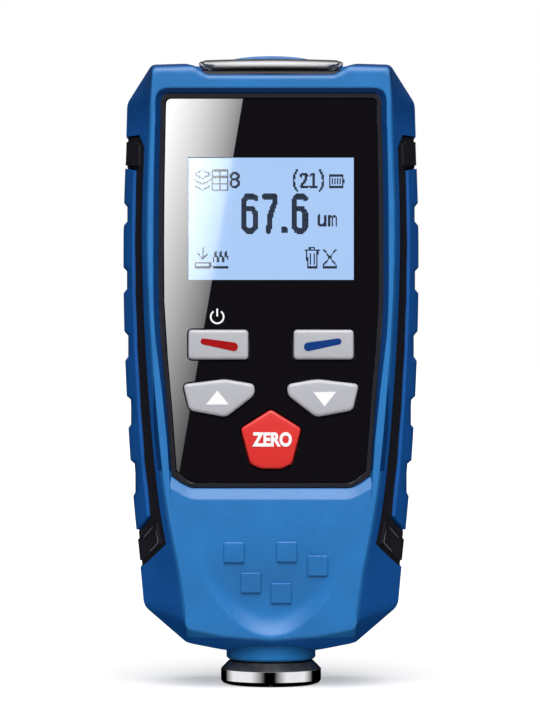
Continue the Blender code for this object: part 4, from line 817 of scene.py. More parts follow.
def notch_floor(heights):
    """Half width of the grip's notches at each height; far outside where there is none."""
    floor = np.full(len(heights), 1.0)
    rim_x = RIM_EDGE[np.searchsorted(RIM_EDGE[:COLUMNS // 2, 1], SIDE_HEIGHTS), 0]
    for middle, tall in NOTCHES:
        ramp = np.clip(np.abs(heights - middle) - tall / 2 + NOTCH_EASE, 0.0, None) / NOTCH_EASE
        base = np.interp(middle, SIDE_HEIGHTS, rim_x)
        floor = np.where(ramp < 1.0, base - NOTCH_SINK * (1.0 - ramp), floor)
    return floor


def tucked(depth):
    """How far the silhouette draws in at a depth: an elliptic curve that starts along Y."""
    past = np.clip((depth - BACK + BACK_ROUND) / BACK_ROUND, 0.0, 1.0)
    return BACK_TUCK * (1.0 - np.sqrt(1.0 - 0.96 * past**2)) / 0.8


def rear_outline(row, depth, sink):
    """Outline of the rear half at a row's depth, sunk inwards; columns that start further back
    than the row take their own depth. Forward of the joint a point lies on the line from the
    face's edge to the silhouette."""
    base = silhouette(row < CAP_STEP, tucked(row) + sink)
    base = grown(base, tucked(row) - tucked(depth))
    start_y = face_y(FACE[:, 1]) + CREST_DROP
    share = np.clip((depth - start_y) / (PARTING - start_y), 0.0, 1.0)[:, None]
    front = face_edge(sink)
    return np.where((depth < PARTING)[:, None], front + (base - front) * share, base)


def rear_row(row, sink=0.0, lip=0.0):
    """3-D row of the rear skin at a depth, or lip behind where the column starts."""
    shift, start = rear_start(RIM_EDGE)
    depth = np.maximum(start + lip, row)
    flat = rear_outline(row, depth, sink)
    shift = shift * np.clip(1.0 - (depth - start) / np.maximum(5.0 * MM - start, 5.0 * MM), 0.0, 1.0)
    x = flat[:, 0] + shift
    deep = notch_floor(flat[:, 1]) - sink
    cut = (depth < NOTCH_END) & (np.abs(x) > deep) & (np.abs(x) > FLANK)
    return np.stack([np.where(cut, np.sign(x) * deep, x), depth, flat[:, 1]], axis=1)


def rear_skin():
    """Grid of the rear skin: rows run from the back opening inside, forward, out and back again."""
    first = GRIP_FRONT
    steps = np.array([-7.0, -5.5, -4.0, -3.5, -2.0, 0.0, 2.0, 2.99, 3.01, 4.0, 5.0, 5.8, 6.5, 7.0, 7.48,
                      7.52, 8.2, 9.0, 9.8, 10.6, 11.3, 11.9, 12.4, 12.8, 13.1, 13.3, 13.42]) * MM
    lip = 0.25 * MM
    outer = [rear_row(y, 0.0, lip) for y in steps]
    edge = bend(outer[0], rear_row(first), rear_row(first, SKIN), lip, 4)
    back = lift(silhouette(False, tucked(BACK)), BACK)
    opening = lift(back_outline(0.0), BACK)
    deep = lift(back_outline(0.0), BACK - SKIN)
    return np.concatenate([edge[::-1], outer, bend(outer[-1], back, opening, 0.15 * MM, 3),
                           between(back, opening, (0.3, 0.6, 0.85)), bend(back, opening, deep, 0.2 * MM, 4),
                           deep[None], lift(silhouette(False, tucked(BACK - SKIN) + SKIN), BACK - SKIN)[None],
                           [rear_row(y, SKIN) for y in (11.5 * MM, 9.5 * MM, 5.0 * MM, 0.0, first)]])


grid_piece("rear_skin", rear_skin(), SKIN_BLUE, wrap_rows=True)
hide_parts("rear_overmold")


# %% Ridge behind the cap
def crown_ridge():
    """Low ridge: half an ellipse in front view, with its long edges rounded by 0.5 mm."""
    half, spring, rise = NOTCH_HALF - 3.3 * MM, TOP + 0.95 * MM, 1.3 * MM
    turn = np.linspace(math.pi, 0.0, 60)
    x, top = half * np.cos(turn), spring + rise * np.sin(turn)
    low, near, far, edge = TOP - 0.2 * MM, 4.0 * MM, 7.0 * MM, 0.5 * MM
    over = np.linspace(0.0, math.pi / 2, 6)
    rounded = edge - edge * np.cos(over), edge - edge * np.sin(over)
    y = np.concatenate([[near, near], near + rounded[0], far - rounded[0][::-1], [far, far]])
    down = np.concatenate([rounded[1], rounded[1][::-1]])
    side = low + (top[:, None] - edge - low) * (0.0, 0.5)
    z = np.hstack([side, top[:, None] - down, side[:, ::-1]])
    grid = np.stack([np.broadcast_to(x[:, None], z.shape), np.broadcast_to(y[None], z.shape), z], axis=-1)
    ends = [grid[:1] * (1, 1, 0) + (0, 0, low), grid[-1:] * (1, 1, 0) + (0, 0, low)]
    return np.concatenate([ends[0], grid, ends[1]])


grid_piece("crown_ridge", crown_ridge(), SKIN_BLUE)

# %% [markdown]
# ## Hard plastic details
# The shells are already solid, so they only get a finish. What catches light on them is added
# just proud of them: the rounded lip round the lens and the pads on the flanks. Each is a
# closed loop of rows with its edges rolled over by a curve of a few tenths of a millimetre.

# %% Lip round the lens
def lens_lip():
    """Ring between the recess and the lens: up the outside, over two rounded edges, down inside."""
    def ring(out, y, radius):
        return lift(panel_outline(out * MM, out * MM, out * MM, radius * MM), FRONT + y * MM)
    stack = [ring(0.88, 1.9, 1.5), ring(0.88, 0.955, 1.5), ring(0.17, 0.955, 1.0), ring(0.17, 1.9, 1.0)]
    edge = 0.17 * MM
    return np.concatenate([stack[0][None], bend(stack[0], stack[1], stack[2], edge, 5),
                           bend(stack[1], stack[2], stack[3], edge, 5), stack[3][None]])


grid_piece("lens_lip", lens_lip(), RIM_GREY, wrap_rows=True)


# %% Rounded outlines
def rounded_outline(corners, reach, count=8):
    """Closed outline with each corner replaced by a quadratic curve that starts reach away."""
    corners = np.asarray(corners, dtype=float)
    before, after = np.roll(corners, 1, axis=0) - corners, np.roll(corners, -1, axis=0) - corners
    t = np.linspace(0.0, 1.0, count)[None, :, None]
    start, end = (corners + d * np.minimum(reach / np.linalg.norm(d, axis=1), 0.48)[:, None]
                  for d in (before, after))
    return arc_through(start[:, None], corners[:, None], end[:, None], t).reshape(-1, 2)


def refined(outline, longest):
    """The same outline with its long runs split into steps no longer than longest."""
    following = np.roll(outline, -1, axis=0)
    counts = np.maximum(1, np.ceil(np.linalg.norm(following - outline, axis=1) / longest)).astype(int)
    share = np.concatenate([np.arange(c) / c for c in counts])
    which = np.repeat(np.arange(len(outline)), counts)
    return outline[which] + (following - outline)[which] * share[:, None]


print("a rounded square has", len(rounded_outline([(0, 0), (1, 0), (1, 1), (0, 1)], 0.2)), "points")


# %% Flank pads
def flank_x(y, z):
    """Half width of the housing's side at a depth and a height between hip and shoulder."""
    face_x, rim_x = (np.interp(z, SIDE_HEIGHTS, side) for side in (FACE_SIDE, RIM_SIDE))
    start = face_y(z) + CREST_DROP
    return face_x + (rim_x - face_x) * np.clip((y - start) / (PARTING - start), 0.0, 1.0) - tucked(y)


def on_flank(name, rings, sinks, side, finish):
    """Piece from rings of (y, z) points laid on one flank, each sunk into it by its own amount."""
    y, z = rings[..., 0], rings[..., 1]
    grid = np.stack([side * (flank_x(y, z) - sinks[:, None]), y, z], axis=-1)
    grid_piece(name, grid, finish)


def flank_pad(name, corners, side):
    """Pad on one flank: a side view, rounded, raised to just under the skin with a rolled edge,
    and a thin bead round it, painted light grey as a highlight on the pad's edge."""
    outline = refined(rounded_outline(corners, 0.5 * MM, 6), 0.4 * MM)
    middle = outline.mean(axis=0)
    over = np.linspace(0.0, math.pi / 2, 5)
    sinks = np.concatenate([[0.55], 0.29 - 0.22 * np.sin(over), np.full(9, 0.07)]) * MM
    insets = np.concatenate([[0.0], 0.22 - 0.22 * np.cos(over), np.zeros(9)]) * MM
    shrink = np.concatenate([np.ones(6), np.linspace(0.92, 0.0, 9)])
    rings = np.stack([middle + (grown(outline, -i) - middle) * s for i, s in zip(insets, shrink)])
    bead = np.stack([grown(outline, -i * MM) for i in (0.10, 0.13, 0.23, 0.26)])
    # The bead is painted light grey as a highlight.
    on_flank(name + "_painted_highlight_bead", bead, np.array([0.2, 0.03, 0.03, 0.2]) * MM, side, PAINTED_EDGE_HIGHLIGHT)
    on_flank(name, rings, sinks, side, DARK)


PAD_FRONT, PAD_REAR, PAD_TALL = STRIP_FRONT + 2.1 * MM, 5.0 * MM, 3.7 * MM
PAD_HIGH, PAD_LOW = STRIP_TOP - 1.0 * MM, STRIP_BOTTOM + 1.3 * MM
UPPER_PAD = [(PAD_FRONT, PAD_HIGH - 0.8 * MM - PAD_TALL), (PAD_REAR, PAD_HIGH - PAD_TALL),
             (PAD_REAR, PAD_HIGH), (PAD_FRONT + 2.0 * MM, PAD_HIGH), (PAD_FRONT, PAD_HIGH - 0.8 * MM)]
PAD_FOOT = [(PAD_FRONT - 0.4 * MM, PAD_LOW + 3.4 * MM), (PARTING - 0.6 * MM, PAD_LOW), (PAD_REAR, PAD_LOW)]
LOWER_PAD = PAD_FOOT + [(y, z + PAD_TALL) for y, z in reversed(PAD_FOOT)]
for label, side in (("left", -1), ("right", 1)):
    flank_pad(f"upper_pad_{label}", UPPER_PAD, side)
    flank_pad(f"lower_pad_{label}", LOWER_PAD, side)


# %% Top cap
def top_cap():
    """Cap lofted front to back: a bar that bulges forward by a quarter ellipse, a step down round
    it, and a base plate with slanted ends and eased edges behind."""
    front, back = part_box("top_cap")[0].y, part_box("top_cap")[1].y
    low, bar_top = CAP_LOW, CAP_MIDDLE + CAP_BAR_HALF

    def outline(foot, head, base, top):
        crown = [(head * x, top + CAP_CROWN * (1.0 - x * x)) for x in np.linspace(0.96, -0.96, 9)]
        corners = [(-foot, base), (foot, base), (head, top - 0.4 * MM)] + crown + [(-head, top - 0.4 * MM)]
        return rounded_outline(corners, 0.22 * MM, 6)
    plate = outline(NOTCH_HALF - 0.55 * MM, NOTCH_HALF + 1.55 * MM, low, bar_top - 0.15 * MM)
    bar = outline(NOTCH_HALF - 1.25 * MM, NOTCH_HALF + 0.9 * MM, CAP_MIDDLE - CAP_BAR_HALF, bar_top)
    middle = np.array([0.0, CAP_MIDDLE])
    swell = np.sin(np.linspace(0.0, math.pi / 2, 10))
    rings = [lift(middle + (bar - middle) * (0.95 + 0.05 * k, k), front + MM * (1.0 - math.sqrt(1.0 - k * k)))
             for k in swell]
    rings += [lift(bar, front + 1.5 * MM), lift(grown(plate, -0.1 * MM), front + 1.4 * MM),
              lift(plate, front + 1.5 * MM), lift(plate, back - 0.3 * MM),
              lift(grown(plate, -0.3 * MM), back), lift(middle + (plate - middle) * (0.5, 0.0), back)]
    return np.stack(rings)


grid_piece("cap_bar", top_cap(), CAP_PAINTED_HIGHLIGHT)
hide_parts("top_cap")

# %% [markdown]
# ## Keys
# Each key is a moulded cap with a rolled edge, a flange that keeps it behind the lens, and a
# stem for its switch. Rows of points climb from the stem, over the flange and up the sides to
# the middle of the cap. What is printed on a key is a thin flat mark that rides with it.

# %% Key outlines
SOFT_LOW, SOFT_HIGH = LENS_BOTTOM + 21.9 * MM, LENS_BOTTOM + 27.2 * MM
SOFT_IN, SOFT_OUT = 4.03 * MM, WINDOW_HALF - 0.05 * MM
ARROW_LOW = LENS_BOTTOM + 11.6 * MM
ARROW_IN, ARROW_OUT = 2.9 * MM, SOFT_OUT + 0.95 * MM
ARROW_MIDDLE = (ARROW_IN + ARROW_OUT) / 2 - 1.3 * MM
ZERO_LOW, ZERO_HALF, ZERO_TALL = LENS_BOTTOM + 2.2 * MM, 5.4 * MM, 10.8 * MM
SOFT = [(SOFT_IN, SOFT_LOW), (SOFT_OUT, SOFT_LOW), (SOFT_OUT, SOFT_HIGH), (SOFT_IN, SOFT_HIGH)]
ARROW = [(ARROW_IN, ARROW_LOW + 3.95 * MM), (ARROW_MIDDLE, ARROW_LOW),
         (ARROW_OUT - 1.1 * MM, ARROW_LOW + 1.2 * MM), (ARROW_OUT, ARROW_LOW + 5.9 * MM),
         (ARROW_MIDDLE + 0.2 * MM, ARROW_LOW + 6.8 * MM), (ARROW_IN, ARROW_LOW + 5.9 * MM)]


def flipped(outline):
    """Outline mirrored to the other side, still counter-clockwise."""
    return [(-x, z) for x, z in reversed(outline)]


ZERO_FOOT = [(1.85 * MM, ZERO_LOW + 0.2 * MM), (3.7 * MM, ZERO_LOW + 1.05 * MM)]
ZERO_SIDE = [(ZERO_HALF, ZERO_LOW + 0.685 * ZERO_TALL)]
ZERO = flipped(ZERO_FOOT) + ZERO_FOOT + ZERO_SIDE + [(0.0, ZERO_LOW + ZERO_TALL)] + flipped(ZERO_SIDE)
print(f"soft keys {(SOFT_OUT - SOFT_IN) * 1000:.1f} x {(SOFT_HIGH - SOFT_LOW) * 1000:.1f} mm")

# %% Key solids
STEM_RADIUS, FLANGE_OUT, FLANGE_THICK = 1.6 * MM, 0.6 * MM, 0.6 * MM


def key_piece(name, node, body, corners, reach, roll, dome, finish, slot):
    """Key as a stack of outlines: stem, flange, sides, rolled edge, slightly crowned cap.

    The edge rolls over by a quarter ellipse; the cap is a shallow paraboloid that falls by dome."""
    outline = refined(rounded_outline(corners, reach, 9), 0.8 * MM)
    low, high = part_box(node)
    middle = np.array([(low.x + high.x) / 2, (low.z + high.z) / 2])
    spokes = (outline - middle) / np.linalg.norm(outline - middle, axis=1)[:, None]
    face, flange = low.y, FRONT + 4.15 * MM
    over = np.linspace(0.0, math.pi / 2, 9)
    tip = grown(outline, -roll)
    size = np.abs(outline - middle).max(axis=0)

    def cap_ring(flat, down):
        ring = lift(flat, 0.0)
        ring[:, 1] = face + down + dome * 0.5 * (((flat - middle) / size)**2).sum(axis=1)
        return ring
    stem, wide = middle + spokes * STEM_RADIUS, grown(outline, FLANGE_OUT)
    rings = [lift(middle + spokes * 0.0, high.y), lift(stem, high.y), lift(stem, flange + FLANGE_THICK),
             lift(wide, flange + FLANGE_THICK), lift(wide, flange), lift(outline, flange)]
    rings += [cap_ring(grown(outline, -roll * (1 - math.cos(t))), roll * 0.85 * (1 - math.sin(t)))
              for t in over]
    rings += [cap_ring(middle + (tip - middle) * s, 0.0) for s in np.linspace(1.0, 0.0, 12)[1:]]
    made = grid_piece(name, np.stack(rings), finish, body, sharp=50.0)
    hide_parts(node)


# reach of the corners, roll of the edge and fall of the cap
SOFT_EDGE = (0.75 * MM, 0.6 * MM, 0.2 * MM)
ARROW_EDGE = (0.9 * MM, 0.65 * MM, 0.3 * MM)
ZERO_EDGE = (0.6 * MM, 0.5 * MM, 0.5 * MM)
KEYS = (("soft_key_left", "power", flipped(SOFT), SOFT_EDGE, SILVER_KEY, "silver_key"),
        ("soft_key_right", "select", SOFT, SOFT_EDGE, SILVER_KEY, "silver_key"),
        ("arrow_key_up", "up", flipped(ARROW), ARROW_EDGE, SILVER_KEY, "silver_key"),
        ("arrow_key_down", "down", ARROW, ARROW_EDGE, SILVER_KEY, "silver_key"),
        ("reset_key", "zero", ZERO, ZERO_EDGE, RED_KEY, "red_key"))
for name, job, corners, edge, finish, slot in KEYS:
    key_piece(name, "key_" + job, job + "_button", corners, *edge, finish, slot)

# %% Printed marks
MARK_THICK = 0.035 * MM


def print_mark(name, outline, y, finish, body):
    """Flat mark just proud of the surface at y: sides, then a face drawn in to its middle."""
    outline = refined(np.asarray(outline, dtype=float), 0.5 * MM)
    middle = outline.mean(axis=0)
    rings = [lift(outline, y + 0.2 * MM)]
    rings += [lift(middle + (outline - middle) * s, y - MARK_THICK) for s in (1.0, 0.6, 0.3, 0.0)]
    grid_piece(name, np.stack(rings), finish, body)


def capsule(start, end, low, high, count=10):
    """Outline of a stroke whose round ends have the radii low and high."""
    start, end = np.array(start), np.array(end)
    way = math.atan2(*(end - start)[::-1])
    turn = np.linspace(math.pi / 2, 3 * math.pi / 2, count)
    first = start + low * np.stack([np.cos(turn + way), np.sin(turn + way)], axis=1)
    second = end + high * np.stack([np.cos(turn + way + math.pi), np.sin(turn + way + math.pi)], axis=1)
    return np.vstack([first, second])


KEY_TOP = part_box("key_power")[0].y
DASH = capsule((6.64 * MM, SOFT_LOW + 2.26 * MM), (12.0 * MM, SOFT_LOW + 3.2 * MM), 0.77 * MM, 0.55 * MM)
print_mark("red_dash", flipped(DASH), KEY_TOP, RED_INK, "power_button")
print_mark("blue_dash", DASH, KEY_TOP, BLUE_INK, "select_button")
MARK_X, MARK_Z, MARK_HALF = 9.55 * MM, ARROW_LOW + 3.5 * MM, 2.05 * MM
UP = [(-MARK_HALF - MARK_X, MARK_Z - 1.25 * MM), (MARK_HALF - MARK_X, MARK_Z - 1.25 * MM),
      (-MARK_X, MARK_Z + 1.25 * MM)]
DOWN = [(MARK_X - MARK_HALF, MARK_Z + 1.0 * MM), (MARK_X, MARK_Z - 1.6 * MM),
        (MARK_X + MARK_HALF, MARK_Z + 1.0 * MM)]
print_mark("up_mark", UP, KEY_TOP, WHITE_INK, "up_button")
print_mark("down_mark", DOWN, KEY_TOP, WHITE_INK, "down_button")


def word(name, text, middle, width, height, y, finish, body, weight):
    """A word as flat mesh letters, scaled to a width and height and set at a depth."""
    curve = bpy.data.curves.new(name, "FONT")
    curve.body, curve.align_x, curve.align_y = text, "CENTER", "CENTER"
    curve.offset, curve.extrude = weight, 0.02
    source = into_scene(name + "_letters", curve)
    bpy.context.view_layer.update()
    mesh = bpy.data.meshes.new_from_object(source.evaluated_get(bpy.context.evaluated_depsgraph_get()))
    bpy.data.objects.remove(source)
    points = np.empty(len(mesh.vertices) * 3, dtype=np.float32)
    mesh.vertices.foreach_get("co", points)
    points = points.reshape(-1, 3)
    low, high = points.min(axis=0), points.max(axis=0)
    flat = (points - (low + high) / 2) / (high - low) * (width, height, 1.0)
    placed = np.stack([flat[:, 0] + middle[0], y - flat[:, 2] * 0.12 * MM, flat[:, 1] + middle[1]], axis=1)
    mesh.vertices.foreach_set("co", placed.astype(np.float32).ravel())
    mesh.name = name
    item = into_scene(name, mesh)
    mesh.materials.clear()
    mesh.materials.append(finish)
    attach(item, body)


word("zero_word", "ZERO", (0.18 * MM, 44.65 * MM), 7.05 * MM, 2.6 * MM, KEY_TOP + 0.03 * MM, WHITE_INK,
     "zero_button", 0.045)

# %% [markdown]
# ## Display
# The display is a dot matrix of 128 by 96 cells over a pale blue backlight. Each sign on it is
# a set of pen strokes in cell units, and a cell turns dark where its middle lies within the
# stroke. Every dark cell is one small square with a gap round it, so the grid shows.

# %% Strokes
ACROSS, DOWNWARDS = 128, 96


def frame_of(left, top, right, bottom):
    """Stroke round a rectangle."""
    return [(left, top), (right, top), (right, bottom), (left, bottom), (left, top)]


# 6, 7 and the point belong to the large figures; the bracketed count is small
STROKES = {
    "6": [[(11.2, 3.6), (9.6, 2.1), (4.2, 2.1), (2.1, 5), (2.1, 26), (4.6, 29), (8.6, 29), (10.7, 26),
           (10.7, 15), (8.6, 11.8), (4.4, 11.8)]],
    "7": [[(1.8, 2.1), (10.2, 2.1), (10.0, 6.5), (6.6, 16), (5.2, 29.2)]],
    ".": [frame_of(0, 0, 2.3, 2.3)],
    "8": [[(2.3, 0.7), (5, 0.7), (6.6, 2.2), (6.6, 3.8), (5, 5.3), (2.3, 5.3), (0.7, 3.8), (0.7, 2.2),
           (2.3, 0.7)],
          [(2.3, 5.3), (5, 5.3), (6.6, 7), (6.6, 9.6), (5, 11.2), (2.3, 11.2), (0.7, 9.6), (0.7, 7),
           (2.3, 5.3)]],
    "2": [[(0.5, 2.6), (1.4, 0.8), (4, 0.6), (5, 2), (4.6, 4.6), (0.6, 10.6), (5.4, 10.6)]],
    "1": [[(1.2, 1.6), (3.2, 0.6), (3.2, 10.6)], [(0.8, 10.6), (5.6, 10.6)]],
    "(": [[(3.4, 0), (1.2, 4), (0.6, 8.5), (1.2, 13), (3.4, 17)]],
    ")": [[(0.6, 0), (2.8, 4), (3.4, 8.5), (2.8, 13), (0.6, 17)]],
    "u": [[(0.8, 0.5), (0.8, 6.8), (2.2, 8.2), (4.4, 7.6), (5.6, 5.8)], [(5.6, 0.5), (5.6, 8.3)]],
    "m": [[(0.7, 8.3), (0.7, 0.6)], [(0.7, 2), (2, 0.7), (3.2, 1.6), (3.4, 8.3)],
          [(3.4, 2), (4.8, 0.7), (6, 1.6), (6.2, 8.3)]],
    "cell": [frame_of(0, 0.4, 10, 9.4), *([(x, 2.6), (x, 7.2)] for x in (2.2, 4.2, 6.2, 8.2)),
             [(11.3, 3.6), (11.3, 6.2)]],
    "layers": [[(0, 4), (6, 0.5), (12, 4), (6, 7.5), (0, 4)], [(0, 8.5), (6, 12), (12, 8.5)],
               [(0, 13), (6, 16.5), (12, 13)]],
    "table": [frame_of(0.5, 1, 12, 16.5), [(0.5, 6), (12, 6)], [(0.5, 11.3), (12, 11.3)],
              [(6.2, 1), (6.2, 16.5)]],
    "plate": [frame_of(0.5, 13, 12, 16.5), [(6.2, 1), (6.2, 9.5)], [(2.8, 6), (6.2, 9.8), (9.6, 6)]],
    "wave": [[(0.5, 12), (2.5, 4), (4.5, 12), (6.5, 4), (8.5, 12), (10.5, 4), (12, 10)],
             [(0.5, 16.5), (12, 16.5)]],
    "bin": [[(0.5, 3), (12, 3)], [(4.5, 3), (4.5, 0.8), (8, 0.8), (8, 3)],
            [(2, 3), (2.8, 16.5), (9.7, 16.5), (10.5, 3)], [(5, 6), (5, 13.5)], [(7.6, 6), (7.6, 13.5)]],
    "cross": [[(1.5, 2.5), (11, 14.5)], [(11, 2.5), (1.5, 14.5)], [(1, 16.5), (11.5, 16.5)]]}
# each sign with its left and upper edge and half its pen's width
SIGNS = (("6", 41, 28.4, 2.15), ("7", 57, 28.4, 2.15), (".", 73.1, 55.6, 1.3), ("6", 79.7, 28.4, 2.15),
         ("8", 32.2, 11.6, 0.9), ("(", 81, 9.4, 0.75), ("2", 86.6, 12.0, 1.05), ("1", 93.6, 12.0, 1.05),
         (")", 101, 9.4, 0.75), ("cell", 109.4, 13.6, 0.7), ("u", 100.4, 45.0, 1.05),
         ("m", 108.4, 45.0, 0.72), ("layers", 5, 9.0, 0.6), ("table", 18.4, 9.0, 0.6),
         ("plate", 5, 69.6, 0.6), ("wave", 18.6, 69.6, 0.6), ("bin", 89.6, 69.6, 0.6),
         ("cross", 103.2, 69.6, 0.6))


def dark_cells():
    """Mask of all cells: dark where the middle is nearer a stroke than its half width."""
    columns, rows = np.meshgrid(np.arange(ACROSS) + 0.5, np.arange(DOWNWARDS) + 0.5)
    centre = np.stack([columns, rows], axis=-1)
    dark = np.zeros(columns.shape, dtype=bool)
    for sign, left, top, half in SIGNS:
        for stroke in STROKES[sign]:
            path = np.array(stroke, dtype=float) + (left, top)
            for start, end in zip(path[:-1], path[1:]):
                along = end - start
                t = np.clip(((centre - start) @ along) / max(along @ along, 1e-9), 0.0, 1.0)
                gap = centre - start - t[..., None] * along
                dark |= (gap**2).sum(axis=-1) < half**2
    return dark


# %% Backlight and cells
DISPLAY_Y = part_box("lcd_module")[0].y - 0.03 * MM
film_x, film_z = np.meshgrid(np.linspace(-WINDOW_HALF, WINDOW_HALF, 9),
                             np.linspace(WINDOW_LOW, WINDOW_HIGH, 7))
film = np.stack([film_x, np.full_like(film_x, DISPLAY_Y), film_z], axis=-1)
piece("backlight_film", film.reshape(-1, 3), grid_faces(7, 9)[:, ::-1], DISPLAY_BLUE)
CELL_X, CELL_Z = 2 * WINDOW_HALF / ACROSS, (WINDOW_HIGH - WINDOW_LOW) / DOWNWARDS
row, column = np.nonzero(dark_cells())
corner = np.array([(0.01, 0.01), (0.99, 0.01), (0.99, 0.99), (0.01, 0.99)])
cell_x = -WINDOW_HALF + (column[:, None] + corner[None, :, 0]) * CELL_X
cell_z = WINDOW_HIGH - (row[:, None] + corner[None, :, 1]) * CELL_Z
cells = np.stack([cell_x, np.full_like(cell_x, DISPLAY_Y - 0.02 * MM), cell_z], axis=-1)
piece("display_cells", cells.reshape(-1, 3), np.arange(len(row) * 4).reshape(-1, 4), PIXEL_DARK)
print(len(row), "dark cells")


# %% Power sign on the lens
def ring_strip(middle, radius, half, first, last, y, count=40):
    """Flat ring, or part of one, from angle first to last."""
    turn = np.linspace(first, last, count)
    spoke = np.stack([np.cos(turn), np.sin(turn)], axis=-1)
    rings = [np.array(middle) + spoke * (radius - half), np.array(middle) + spoke * (radius + half)]
    return np.stack([lift(r, y) for r in rings])


SIGN_AT = (-9.6 * MM, SOFT_HIGH + 2.3 * MM)
sign = ring_strip(SIGN_AT, 1.15 * MM, 0.15 * MM, math.radians(125), math.radians(415), LENS_FACE - 0.015 * MM)
grid_piece("power_ring", sign, WHITE_INK, wrap_columns=False)
stem_ends = [(SIGN_AT[0], SIGN_AT[1] + rise * MM) for rise in (0.2, 1.35)]
stem = capsule(*stem_ends, 0.15 * MM, 0.15 * MM)
print_mark("power_stem", stem, LENS_FACE + 0.02 * MM, WHITE_INK, "housing")

# %% [markdown]
# ## Probe
# The foot is turned from brass and chromed, and its V-groove seats it on pipes. A turned form
# is a profile carried round an axis; the columns bunch up at the groove so that both of its
# edges stay straight. The blue collar above it is turned the same way. Inside, a steel spring
# presses the probe down; here it only gets a mesh of its own.

# %% Turned pieces
def turned_grid(profile, groove=0.0, steps=192):
    """Profile points (radius, z) carried round Z. With a groove, angles are chosen per row so
    that some columns keep a fixed y inside the groove, and z is raised to groove - |y| there."""
    radius, z = np.array(profile).T
    if groove == 0.0:
        turn = np.linspace(0.0, 2 * math.pi, steps, endpoint=False)[None] * np.ones((len(radius), 1))
    else:
        wide = groove / np.maximum(radius, groove * 1.01)
        edge, near = np.arcsin(wide), np.arcsin(np.linspace(0.0, 1.0, 5)[None] * wide[:, None])
        far = edge[:, None] + (math.pi / 2 - edge)[:, None] * np.linspace(0.0, 1.0, steps // 4)[None, 1:]
        quarter = np.hstack([near, far])
        half = np.hstack([quarter, math.pi - quarter[:, ::-1][:, 1:]])
        turn = np.hstack([half, half[:, 1:-1] + math.pi])
    x, y = radius[:, None] * np.cos(turn), radius[:, None] * np.sin(turn)
    height = np.broadcast_to(z[:, None], x.shape)
    return np.stack([x, y, np.maximum(height, groove - np.abs(y)) if groove else height], axis=-1)


COLLAR_LOW, COLLAR_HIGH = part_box("probe_collar")[0].z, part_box("probe_collar")[1].z
COLLAR_WIDE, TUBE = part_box("probe_collar")[1].x, 6.0 * MM
FOOT_WIDE, TUBE_HIGH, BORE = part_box("probe_foot")[1].x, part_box("probe_foot")[1].z, 4.6 * MM
FLAT_OUT = COLLAR_WIDE - 1.0 * MM
collar = rounded_outline([(TUBE + 0.3 * MM, COLLAR_LOW), (FLAT_OUT - 0.4 * MM, COLLAR_LOW),
                          (FLAT_OUT, COLLAR_LOW + 0.4 * MM), (FLAT_OUT, COLLAR_HIGH - MM),
                          (COLLAR_WIDE, COLLAR_HIGH - MM), (COLLAR_WIDE, COLLAR_HIGH),
                          (TUBE + 0.3 * MM, COLLAR_HIGH)], 0.15 * MM, 5)
grid_piece("collar_ring", turned_grid(collar), COLLAR_BLUE, wrap_rows=True)
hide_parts("probe_collar")
foot = rounded_outline([(BORE, 0.0), (FOOT_WIDE - 1.1 * MM, 0.0), (FOOT_WIDE - 0.3 * MM, 0.28 * MM),
                        (FOOT_WIDE, 0.75 * MM), (FOOT_WIDE, 2.75 * MM),
                        (FOOT_WIDE - 1.4 * MM, COLLAR_LOW - 0.3 * MM), (TUBE, COLLAR_LOW - 0.3 * MM),
                        (TUBE, TUBE_HIGH), (BORE, TUBE_HIGH)], 0.12 * MM, 5)
grid_piece("chrome_foot", turned_grid(foot, 0.9 * MM), FOOT_PLATED, wrap_rows=True, sharp=24.0)
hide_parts("probe_foot")

# %% Probe spring
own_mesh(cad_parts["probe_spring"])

# %% [markdown]
# ## Finish of the solids
# Every solid gets a finish by its name, after what it would be made of. Screws are steel, and
# what isn't listed wears the blue of the skin.

# %% Finishes by node
OF_FINISH = (
    (DARK, "front_shell rear_shell battery_door"), (LENS, "lens_panel"), (SILICONE, "keypad_mat"),
    (GREEN, "main_board"), (BRASS, "lock_nut probe_coil"), (SLEEVE, "battery_cell_left battery_cell_right"),
    (BLACK_PART, "lcd_module power_coil buzzer controller_chip signal_chip probe_guide"),
    (STEEL, "clock_crystal contact_plate probe_tip probe_spring battery_spring_left battery_spring_right"))
NODE_FINISH = {name: finish for finish, names in OF_FINISH for name in names.split()}
for name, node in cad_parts.items():
    finish = NODE_FINISH.get(name) or (STEEL if "screw" in name else SKIN_BLUE)
    if not node.material_slots:
        node.data.materials.append(finish)
    for slot in node.material_slots:
        slot.material = finish
print(len(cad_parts), "solids have their finish")

# %% [markdown]
# ## Floor, light and camera
# The gauge stands on a plain white floor that glows a little for the camera, under a white sky.
# Four soft suns light the gauge: one gives its face even colour, one only gives gloss, one comes
# from below as a bright table would throw it back, and one from behind. A fifth sun reaches the
# floor alone and lays the soft shadow round the foot.

# %% Floor
FLOOR_GLOW, FLOOR_REACH = 0.42, 40.0


def white_floor():
    """White floor: it takes light and shadow like paper, and glows a little for the camera."""
    finish = Finish("white_floor", Roughness=0.9, Specular_IOR_Level=0.0)
    cloud = finish.noise(2.0, 1.0)
    finish.feed("Base Color", finish.tint(cloud, (0.78, 0.78, 0.78), (0.8, 0.8, 0.8)))
    lit = finish.node("ShaderNodeAddShader", {}, {0: finish.plain(), 1: finish.glow(FLOOR_GLOW)})
    camera_ray = finish.node("ShaderNodeLightPath")
    finish.surface(finish.node("ShaderNodeMixShader", {}, {0: camera_ray, 1: finish.plain(), 2: lit}))
    return finish.material


def stage_piece(name, grid, finish):
    """Part of the stage from a grid of points."""
    mesh = bpy.data.meshes.new(name)
    mesh.from_pydata(grid.reshape(-1, 3).tolist(), [], grid_faces(*grid.shape[:2]).tolist())
    item = into_scene(name, mesh)
    mesh.materials.append(finish)
    return item


